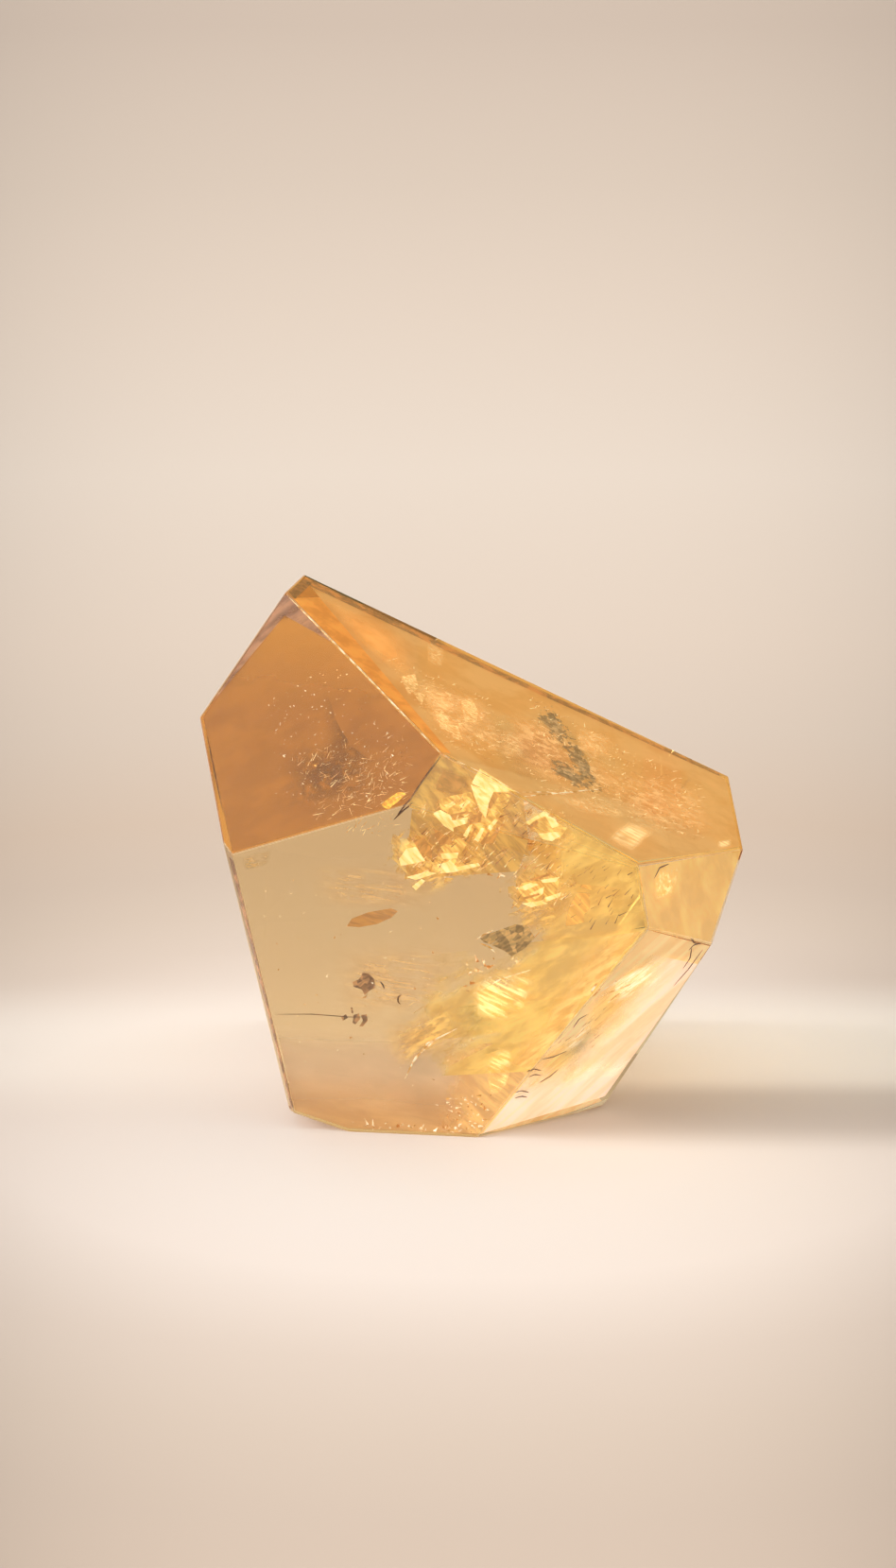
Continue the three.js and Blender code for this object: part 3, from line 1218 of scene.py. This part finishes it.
# %% Silk in the window and the cheek
silk = healed_crack(
    "silk veil", (244, 196, 96), (254, 238, 168), cover=(0.05, 0.92), grain=(5, 0.5, -26),
    glow=(0.5, 0.72), fade=0.5,
)
silk_veils_sheets = [
    ([(480, 1030), (584, 1004), (574, 1086), (488, 1090)], (12, 10), 21),
    ([(488, 1040, 0.35), (534, 1032, 0.35), (552, 1090, 0.35), (496, 1082, 0.35)], (8, 8), 19),
    ([(508, 1100, 0.4), (552, 1096, 0.4), (540, 1160, 0.4), (512, 1176, 0.4)], (6, 8), 16),
    ([(688, 916), (724, 908), (716, 958), (688, 962)], (6, 8), 23),
]
add_sheets("silk_veils", silk, silk_veils_sheets, depth=0.5)

# %% Silk under the top facet
brow_silk = healed_crack(
    "brow silk", (230, 178, 104), (253, 226, 166), cover=(0.0, 0.55), grain=(2.2, 0.4, -60),
    glow=(0.5, 0.6), fade=0.6, fray=0.4,
)
brow_silk_sheets = [
    ([(446, 670), (476, 682), (472, 714), (448, 706)], (5, 5), 29),
    ([(600, 756), (660, 778), (654, 810), (604, 800)], (6, 5), 30),
    ([(420, 706), (500, 730), (508, 790), (456, 776)], (6, 6), 27),
    ([(524, 762), (560, 770), (560, 812), (528, 806)], (6, 6), 31),
    ([(552, 836), (660, 840), (690, 876), (610, 862)], (8, 5), 34),
]
add_sheets("brow_silk", brow_silk, brow_silk_sheets, depth=0.5)

# %% Flakes under the top facet
top_flake = healed_crack(
    "top flake", (232, 176, 98), (253, 222, 158), cover=(0.45, 0.95), grain=(2, 0.35, -60),
    glow=(0.48, 0.6),
)
top_flakes_outlines = [
    [(424, 716), (439, 713), (443, 728), (432, 735)],
    [(436, 731), (450, 735), (446, 746)],
    [(460, 751), (474, 759), (478, 776), (466, 770)],
    [(474, 766), (484, 768), (490, 784), (480, 782)],
    [(488, 742), (498, 738), (506, 752), (504, 764), (492, 764)],
]
add_facets("top_flakes", top_flake, top_flakes_outlines, depth=0.4)

# %% White silk on the overhang
white_silk = healed_crack(
    "white silk", (248, 220, 164), (253, 244, 218), cover=(0.05, 0.95), grain=(6, 0.5, 30),
    glow=(0.5, 0.68), fade=0.6,
)
white_silk_sheets = [
    ([(622, 1040), (712, 992), (716, 1040), (634, 1082)], (10, 8), 22),
    ([(632, 1036), (700, 1006), (696, 1042), (644, 1064)], (8, 6), 24),
    ([(560, 1096, 0.7), (650, 1060, 0.7), (620, 1110, 0.7), (560, 1140, 0.7)], (10, 8), 23),
]
add_sheets("white_silk", white_silk, white_silk_sheets, depth=0.2)

# %% The golden plume
gold_plume = healed_crack(
    "gold plume", (200, 152, 74), (236, 194, 104), cover=(0.3, 0.92), grain=(4, 0.7, 32),
    glow=(0.42, 0.55), fade=0.7,
)
gold_plume_sheets = [
    ([(378, 1096, 0.6), (500, 1034, 0.6), (530, 1096, 0.6), (396, 1152, 0.6)], (12, 6), 26),
    ([(410, 896), (500, 900), (480, 952), (430, 960)], (8, 6), 28, 0.1),
    ([(524, 940), (620, 930), (600, 1000), (536, 1004)], (8, 6), 36, 0.1),
]
add_sheets("gold_plume", gold_plume, gold_plume_sheets, depth=2)

# %% [markdown]
# ## The overhanging facet
# The facet that leans out at the lower right is the palest: gold along its upper left edge, then
# cream. The gold runs on across the edge from the window, as one haze seen through two facets, so
# its sheets lie on both sides of that edge. The cream is laid in layers behind it.

# %% Gold along the edge
overhang_gold = healed_crack(
    "overhang gold", (226, 184, 100), (238, 204, 122), cover=(0.7, 0.97), grain=(9, 0.9, 38),
    glow=(0.45, 0.55), fade=0.8,
)
overhang_gold_sheets = [
    ([(586, 1086), (694, 976), (722, 1010), (604, 1136)], (10, 8), 40),
    ([(530, 1150), (616, 1060), (632, 1116), (552, 1170)], (10, 8), 44),
]
add_sheets("overhang_gold", overhang_gold, overhang_gold_sheets, depth=0.3)

# %% The pale and the cream veil
pale_silk = healed_crack(
    "pale silk", (246, 208, 142), (250, 220, 162), cover=(0.9, 0.96), grain=(16, 2, 40),
    glow=(0.44, 0.5),
)
pale_veil_sheets = [
    ([(686, 984), (751, 1001), (640, 1160, 1.2), (508, 1200, 1.2)], (10, 12), 25),
]
add_sheets("pale_veil", pale_silk, pale_veil_sheets, depth=1.5)

cream_silk = healed_crack(
    "cream silk", (250, 221, 184), (253, 230, 208), cover=(0.8, 0.96), grain=(18, 2.4, 40),
    glow=(0.5, 0.58), fade=0.7, frayed="left",
)
cream_veil_sheets = [
    ([(672, 1006), (738, 1020), (640, 1160, 0.8), (511, 1199, 0.8)], (10, 12), 20),
]
add_sheets("cream_veil", cream_silk, cream_veil_sheets, depth=1)

# %% Cream by the corner and at the foot
corner_cream = healed_crack(
    "corner cream", (226, 178, 92), (242, 206, 128), cover=(0.5, 0.95), grain=(12, 1.0, 38),
    glow=(0.48, 0.56), fade=0.8, frayed="left",
)
corner_cream_sheets = [
    ([(604, 996), (684, 985, 0.3), (562, 1132, 0.3), (524, 1120)], (8, 12), 17),
]
add_sheets("corner_cream", corner_cream, corner_cream_sheets, depth=0.35)

cream_foot = healed_crack(
    "cream foot", (250, 224, 192), (253, 234, 212), cover=(0.85, 0.95), grain=(18, 2.4, 40),
    glow=(0.48, 0.54), fade=0.5, fray=0.4, frayed="top",
)
cream_foot_sheets = [
    ([(590, 1102), (676, 1108), (640, 1160, 0.6), (511, 1199, 0.6)], (10, 8), 18),
]
add_sheets("cream_foot", cream_foot, cream_foot_sheets, depth=0.7)

# %% [markdown]
# ## Strips and films beside the edges
# Beside some edges a second facet shows through the first as a narrow strip of another tone. Bent
# light would show these by itself if every hidden facet were known. The ones that matter are helped
# by narrow films: orange beside the long edge, brown under the ridge, grey-brown at the shoulder.

# %% The strips beside the edge and the ridge
edge_strip = healed_crack(
    "edge strip", (222, 140, 44), (236, 158, 60), cover=(0.8, 0.9), grain=(10, 3, 50), glow=(0.4, 0.5),
)
edge_strip_sheets = [
    ([(309, 633), (338, 632), (477, 797), (467, 796)], (2, 14), 71),
]
add_sheets("edge_strip", edge_strip, edge_strip_sheets, depth=0.6, smooth=False)

ridge_strip = healed_crack(
    "ridge strip", (126, 78, 40), (206, 132, 60), cover=(0.6, 0.9), grain=(6, 2, 25), glow=(0.2, 0.4),
)
ridge_strip_sheets = [
    ([(323, 610), (520, 706), (519, 711), (324, 618)], (20, 1), 72),
    ([(520, 706), (762, 818), (761, 821), (519, 711)], (20, 1), 73),
]
add_sheets("ridge_strip", ridge_strip, ridge_strip_sheets, depth=0.6, smooth=False)

# %% The shoulder and the apex
shoulder_film = healed_crack(
    "shoulder film", (134, 96, 76), (176, 130, 98), cover=(0.6, 0.8), grain=(6, 2, 40),
    glow=(0.35, 0.45),
)
shoulder_film_sheets = [
    ([(301, 630), (303, 630), (302, 650), (226, 742)], (3, 6), 74),
    ([(302, 630), (304, 630), (352, 680), (301, 651)], (3, 6), 75),
]
add_sheets("shoulder_film", shoulder_film, shoulder_film_sheets, depth=0.7)

apex_film = healed_crack(
    "apex film", (96, 58, 28), (150, 96, 50), cover=(0.7, 0.9), grain=(3, 1, 40), glow=(0.3, 0.4),
)
apex_film_outlines = [
    [(304, 627), (321, 612), (330, 617), (312, 634)],
]
add_facets("apex_film", apex_film, apex_film_outlines, depth=0.3)

# %% Gold at the top and on the toe
top_gold = healed_crack(
    "top gold", (238, 170, 80), (242, 180, 96), cover=(0.6, 0.8), grain=(10, 3, 30), glow=(0.5, 0.54),
    fade=0.95, fray=0.1,
)
top_gold_sheets = [
    ([(320, 616), (440, 668), (452, 744), (376, 680)], (8, 6), 76),
]
add_sheets("top_gold", top_gold, top_gold_sheets, depth=0.8)

toe_film = healed_crack(
    "toe film", (236, 190, 120), (248, 214, 160), cover=(0.8, 0.95), grain=(6, 2, 20), glow=(0.45, 0.5),
)
toe_film_outlines = [
    [(516, 1198), (634, 1162), (637, 1165), (597, 1179), (530, 1196)],
]
add_facets("toe_film", toe_film, toe_film_outlines, depth=0.2)

# %% [markdown]
# ## The pale reflection
# Near the right end of the top facet a pale four-sided patch shines through, with a tiny one by the
# right edge. It is a painted reflection: a pale sheet stands in for light mirrored inside the stone.

# %% The pale reflection
pale_reflection = healed_crack(
    "pale reflection", (246, 210, 140), (253, 232, 176), cover=(0.5, 1.0), grain=(7, 0.8, -38),
    glow=(0.52, 0.6), fade=0.6, fray=0.3,
)
pale_window_sheets = [
    ([(632, 890), (664, 862), (704, 878), (669, 908)], (6, 5), 27),
    ([(756, 889), (775, 886), (777, 896), (758, 899)], (4, 4), 28),
]
add_sheets("pale_reflection", pale_reflection, pale_window_sheets, depth=0.6)

# %% [markdown]
# ## Minerals that grew in
# A few small crystals of other minerals sit in the stone: an orange leaf, a yellow mark, a stain at
# the corner, brown grains and an olive chip with a blocky, stepped face. Those with clear outlines
# are flat faces laid corner by corner, and the blurred ones are small sheets.

# %% The orange leaf
orange_leaf = healed_crack(
    "orange leaf", (180, 122, 48), (198, 142, 62), cover=(0.85, 0.95), grain=(3.0, 0.5, -10),
    glow=(0.35, 0.4),
)
orange_leaf_outlines = [
    [(367, 980), (372, 972), (390, 965), (414, 961), (421, 964), (414, 971), (398, 978), (380, 981)],
]
add_facets("orange_leaf", orange_leaf, orange_leaf_outlines, depth=3)

# %% The stain and the yellow mark
corner_stain = healed_crack(
    "corner stain", (182, 138, 66), (206, 164, 96), cover=(0.1, 0.8), grain=(2.0, 0.5, 10),
    glow=(0.3, 0.4), fade=0.4,
)
corner_stain_sheets = [
    ([(249, 906), (294, 894), (288, 916), (254, 927)], (8, 5), 37),
]
add_sheets("corner_stain", corner_stain, corner_stain_sheets, depth=0.4, smooth=False)

yellow_mark = healed_crack(
    "yellow mark", (222, 152, 24), (252, 208, 70), cover=(0.8, 1.0), grain=(1.5, 0.5, -30),
    glow=(0.4, 0.6), fade=0.15, fray=0.2,
)
yellow_mark_sheets = [
    ([(400, 852), (422, 836), (434, 838), (410, 861)], (7, 4), 38),
]
add_sheets("yellow_mark", yellow_mark, yellow_mark_sheets, depth=0.3, smooth=False)

# %% The brown grains
brown_grain = healed_crack(
    "brown grain", (104, 70, 34), (190, 142, 88), cover=(0.95, 1.0), grain=(1.0, 0.5, 30),
    glow=(0.3, 0.45), blocky=0.9,
)
brown_grains_outlines = [
    [(384, 1029), (390, 1030), (396, 1036), (397, 1045), (391, 1048), (386, 1053), (383, 1047)],
    [(383, 1047), (374, 1044), (373, 1039), (380, 1036), (384, 1029)],
    [(383, 1056), (389, 1052), (387, 1056)],
    [(374, 1074), (380, 1072), (381, 1078), (376, 1084), (373, 1082)],
    [(382, 1074), (388, 1073), (389, 1080), (384, 1086), (380, 1086), (384, 1080)],
    [(361, 1076), (366, 1073), (368, 1077), (363, 1080)],
    [(371, 1066), (373, 1066), (374, 1072), (372, 1072)],
]
add_facets("brown_grains", brown_grain, brown_grains_outlines, depth=2)

# %% The olive chip
olive_chip = healed_crack(
    "olive chip", (122, 96, 42), (206, 168, 100), cover=(0.95, 1.0), grain=(1.4, 0.35, 35),
    glow=(0.3, 0.45), blocky=0.9,
)
olive_chip_outlines = [
    [(508, 993), (516, 988), (526, 985), (530, 992), (520, 999), (512, 997)],
    [(526, 985), (545, 978), (550, 986), (544, 1000), (534, 1006), (520, 1000), (530, 992)],
    [(545, 978), (558, 980), (566, 992), (556, 1003), (541, 1012), (534, 1006), (544, 1000), (550, 986)],
]
add_facets("olive_chip", olive_chip, olive_chip_outlines, depth=1.6)

# %% [markdown]
# ## The grey chains
# Two rows of tiny grey cells cross under the top facet and meet in a V. They are old cracks that
# healed in beads. Separate beads would be too regular, so three narrow sheets carry a blocky pattern
# whose cells are as small as the beads.

# %% The grey chains
grey_bead = healed_crack(
    "grey bead", (108, 86, 60), (204, 172, 124), cover=(0.7, 0.95), grain=(1.2, 0.9, 45),
    glow=(0.2, 0.4), fade=0.35, fray=0.3, blocky=0.7,
)
grey_chains_sheets = [
    ([(564, 753), (584, 745), (608, 780), (590, 790)], (4, 7), 41),
    ([(590, 784), (608, 777), (640, 838), (624, 840)], (4, 9), 43),
    ([(576, 812), (586, 799), (628, 827), (618, 839)], (4, 9), 42),
]
add_sheets("grey_chains", grey_bead, grey_chains_sheets, depth=0.5, smooth=False)

# %% [markdown]
# ## Hair cracks
# The last cracks show edge-on, as fine dark or bright lines. They are the thinnest things in the stone,
# so they are threads a fraction of a millimetre thick. One bright line, along the long edge between the
# left shoulder and the top facet, is no crack but a painted highlight. The seam down the left side is a
# long narrow face, and a star-shaped chip takes the material of the bright lines.

# %% Dark hair cracks
dark_hair = plain_mark("dark hair crack", (70, 38, 12), (120, 72, 26), size=1.0, roughness=0.3)
dark_hairs_lines = [
    [(476, 917, 3), (500, 910, 3), (541, 893, 3), (568, 887, 3)],
    [(570, 1146, 0.5), (582, 1139, 0.5), (591, 1131, 0.5)],
    [(557, 1134), (565, 1131), (573, 1133)],
    [(558, 1140), (566, 1137), (573, 1138)],
    [(544, 1156), (552, 1154), (560, 1156)],
    [(544, 1162), (552, 1160), (558, 1161)],
    [(572, 1121), (586, 1118), (600, 1112)],
    [(606, 1088), (613, 1078), (622, 1073)],
    [(416, 868), (426, 858), (437, 849)],
    [(420, 863), (428, 852), (436, 844)],
    [(425, 1052, 2), (421, 1055, 2), (421, 1060, 2), (424, 1063, 2)],
    [(402, 1038, 2), (405, 1042, 2), (407, 1047, 2)],
    [(712, 1044), (728, 1026), (744, 1004)],
    [(722, 1026), (730, 1014), (732, 1002)],
    [(731, 993), (735, 998), (742, 999)],
    [(728, 1006), (734, 1000), (742, 998)],
    [(692, 930, 0.5), (698, 918, 0.5), (708, 914, 0.5)],
]
add_threads("dark_hairs", dark_hair, dark_hairs_lines, radius=0.12, depth=0.3)

seam = plain_mark("seam", (160, 110, 62), (186, 132, 80), size=2.0, glow=0.4)
left_seam_outlines = [
    [(242, 906), (247, 911), (311, 1172), (308, 1171)],
]
add_facets("left_seam", seam, left_seam_outlines, depth=0.2)

fine_hairs_lines = [
    [(284, 1073, 2), (330, 1073, 2), (370, 1076, 2), (392, 1076, 2)],
    [(236, 860), (228, 822), (219, 778)],
    [(467, 800), (450, 822), (434, 846)],
]
add_threads("fine_hairs", dark_hair, fine_hairs_lines, radius=0.07, depth=1)

# %% Bright hair cracks and a painted edge highlight
bright_crack_and_edge_highlight = plain_mark(
    "bright crack and edge highlight", (240, 190, 100), (255, 244, 210), size=1.0, roughness=0.25, glow=0.4,
)
bright_hairs_lines = [
    # This first line is a painted highlight along the long edge between the left shoulder and the top
    # facet.
    [(303, 629, 0.2), (384, 711, 0.2), (466, 797, 0.2)],
    [(552, 843), (580, 840), (612, 838)],
    [(552, 838, 0.4), (580, 838, 0.4), (600, 841, 0.4)],
    [(570, 842, 0.4), (600, 838, 0.4), (645, 834, 0.4)],
    [(470, 799, 0.3), (512, 819, 0.3), (553, 841, 0.3)],
    [(428, 1142, 0.4), (440, 1118, 0.4), (466, 1096, 0.4)],
    [(436, 1126, 0.4), (452, 1104, 0.4), (484, 1088, 0.4)],
    [(634, 1050), (650, 1040), (662, 1031)],
    [(636, 1054), (655, 1046), (672, 1040)],
    [(642, 1062), (654, 1052), (668, 1046)],
    [(500, 1052, 0.6), (530, 1036, 0.6), (562, 1026, 0.6)],
    [(504, 994, 0.6), (512, 989, 0.6), (522, 984, 0.6)],
    [(508, 998, 0.6), (518, 1002, 0.6), (524, 1008, 0.6)],
]
add_threads("bright_hairs", bright_crack_and_edge_highlight, bright_hairs_lines, radius=0.13, depth=0.5)

# %% The star-shaped chip
star_chip_sheets = [
    ([(625, 1048), (631, 1040), (636, 1047), (628, 1055)], (2, 2), 39),
]
add_sheets("star_chip", bright_crack_and_edge_highlight, star_chip_sheets, depth=0.3, smooth=False)

# %% [markdown]
# ## Glitter
# Specks finer than all of these fill the space between. They are far too many to place by hand, so
# a Geometry Nodes tree scatters them over invisible sheets inside the stone.

# %% Sparks under the brow and along the foot
spark = plain_mark(
    "spark", (244, 186, 92), (255, 246, 214), size=1.0, metal=0.5, roughness=0.25, glow=0.5,
)
brow_sparks_sheets = [
    ([(432, 800), (560, 840), (600, 930), (430, 930)], (6, 6), 51, 0.8),
    ([(490, 1020), (600, 1000), (560, 1090), (490, 1100)], (6, 6), 52, 0.8),
]
add_scatter(
    "brow_sparks", spark, brow_sparks_sheets, depth=4, density=70, length=1.3, slimness=0.5, spread=70,
    seed=5, lean=60,
)

foot_sparks_sheets = [
    ([(372, 1187), (500, 1193), (500, 1200), (374, 1194)], (10, 1), 53),
    ([(470, 1164), (520, 1156), (506, 1197), (474, 1197)], (4, 4), 54),
]
add_scatter(
    "foot_sparks", spark, foot_sparks_sheets, depth=0.2, density=190, length=1.1, slimness=0.5,
    spread=80, seed=6, lean=60, drift=0.2,
)

# %% [markdown]
# ## Needles
# The same tree makes needles when its flakes are long and slim. They lean mostly one way, as the creases
# of the foil and the fibres of the corner do. On the foil, the bright needles are painted highlights and
# the dark ones painted shade, and together they read as creases.

# %% Wisps under the top facet
fibre_and_crease_highlight = plain_mark("fibre_and_crease_highlight", (240, 186, 110), (255, 236, 180), size=1.0, roughness=0.3, glow=0.5)
top_wisps_sheets = [
    ([(400, 690), (520, 740), (560, 820), (470, 790)], (8, 8), 55),
    ([(560, 740), (740, 830), (740, 890), (560, 830)], (8, 8), 56),
]
add_scatter(
    "top_wisps", fibre_and_crease_highlight, top_wisps_sheets, depth=0.7, density=90, length=2.2, slimness=0.14, spread=35,
    seed=7, lean=50, drift=0.1,
)

# %% Creases of the foil
# Painted highlights along the foil's creases, in the bright material of the fibres.
foil_lines_sheets = [
    ([(440, 850), (548, 846), (540, 920), (430, 930)], (6, 6), 91),
    ([(550, 856), (604, 862), (604, 960), (540, 960)], (6, 6), 92),
]
add_scatter(
    "foil_crease_highlights", fibre_and_crease_highlight, foil_lines_sheets, depth=0.5, density=150, length=1.8, slimness=0.11, spread=24,
    seed=11, lean=45, drift=0.15,
)

# Painted shade along the foil's creases.
shade_line = plain_mark("shade line", (120, 70, 24), (170, 106, 44), size=1.0, glow=0.2)
foil_shades_sheets = [
    ([(450, 856), (548, 846), (540, 916), (440, 926)], (6, 6), 95),
    ([(554, 860), (600, 862), (600, 956), (544, 956)], (6, 6), 96),
    ([(600, 900), (672, 920), (664, 974), (600, 990)], (6, 6), 97),
    ([(584, 1072, 0.4), (640, 1064, 0.4), (628, 1110, 0.4), (584, 1120, 0.4)], (6, 6), 98),
]
add_scatter(
    "foil_shades", shade_line, foil_shades_sheets, depth=0.6, density=60, length=1.8, slimness=0.09,
    spread=20, seed=12, lean=45, drift=0.15,
)

# %% Fibres in the corner
corner_fibres_sheets = [
    ([(560, 990), (730, 960), (690, 1060), (540, 1150)], (8, 8), 57, 0.8),
    ([(420, 1070, 5), (520, 1040, 5), (510, 1110, 5), (420, 1140, 5)], (8, 8), 58, 0.8),
]
add_scatter(
    "corner_fibres", fibre_and_crease_highlight, corner_fibres_sheets, depth=3, density=22, length=4.5, slimness=0.035,
    spread=14, seed=8, lean=55,
)

# %% [markdown]
# ## Faint streaks and dust
# Deep behind the clear window hang a few almost invisible streaks. The left shoulder carries a net of
# fine bright needles, and dust lies under both.

# %% Faint streaks
faint_streaks = healed_crack(
    "faint streaks", (202, 154, 92), (232, 190, 122), cover=(0.05, 0.55), grain=(9, 0.5, -6),
    glow=(0.4, 0.5), fade=0.6,
)
faint_streaks_sheets = [
    ([(320, 985), (520, 975), (510, 1090), (320, 1100)], (8, 8), 86, 0.3),
    ([(300, 905), (470, 900), (500, 980), (300, 970)], (8, 6), 87, 0.3),
    ([(380, 1060), (500, 1050), (500, 1150, 4), (390, 1150, 4)], (8, 6), 88, 0.3),
]
add_sheets("faint_streaks", faint_streaks, faint_streaks_sheets, depth=5)

# %% The net over the left shoulder
shoulder_net_sheets = [
    ([(306, 800), (440, 760), (432, 846), (330, 872)], (6, 6), 81),
    ([(360, 800), (424, 790), (424, 842), (350, 862)], (6, 6), 82),
    ([(350, 876), (424, 858), (416, 882), (380, 884)], (6, 3), 85),
]
add_scatter(
    "shoulder_net", fibre_and_crease_highlight, shoulder_net_sheets, depth=0.4, density=130, length=1.7, slimness=0.1,
    spread=60, seed=9, lean=60, drift=0.2,
)

# %% Dust
shoulder_dust_sheets = [
    ([(280, 740), (360, 700), (440, 800), (290, 850)], (6, 6), 83),
    ([(366, 806), (420, 796), (420, 846), (370, 852)], (6, 6), 84),
]
add_scatter(
    "shoulder_dust", spark, shoulder_dust_sheets, depth=0.4, density=80, length=0.45, slimness=0.7,
    spread=90, seed=10, drift=0.2,
)

window_dust_sheets = [
    ([(268, 930), (470, 910), (500, 1180), (312, 1160)], (4, 4), 89),
]
add_scatter(
    "window_dust", spark, window_dust_sheets, depth=0.5, density=9, length=0.5, slimness=0.7, spread=90,
    seed=13,
)
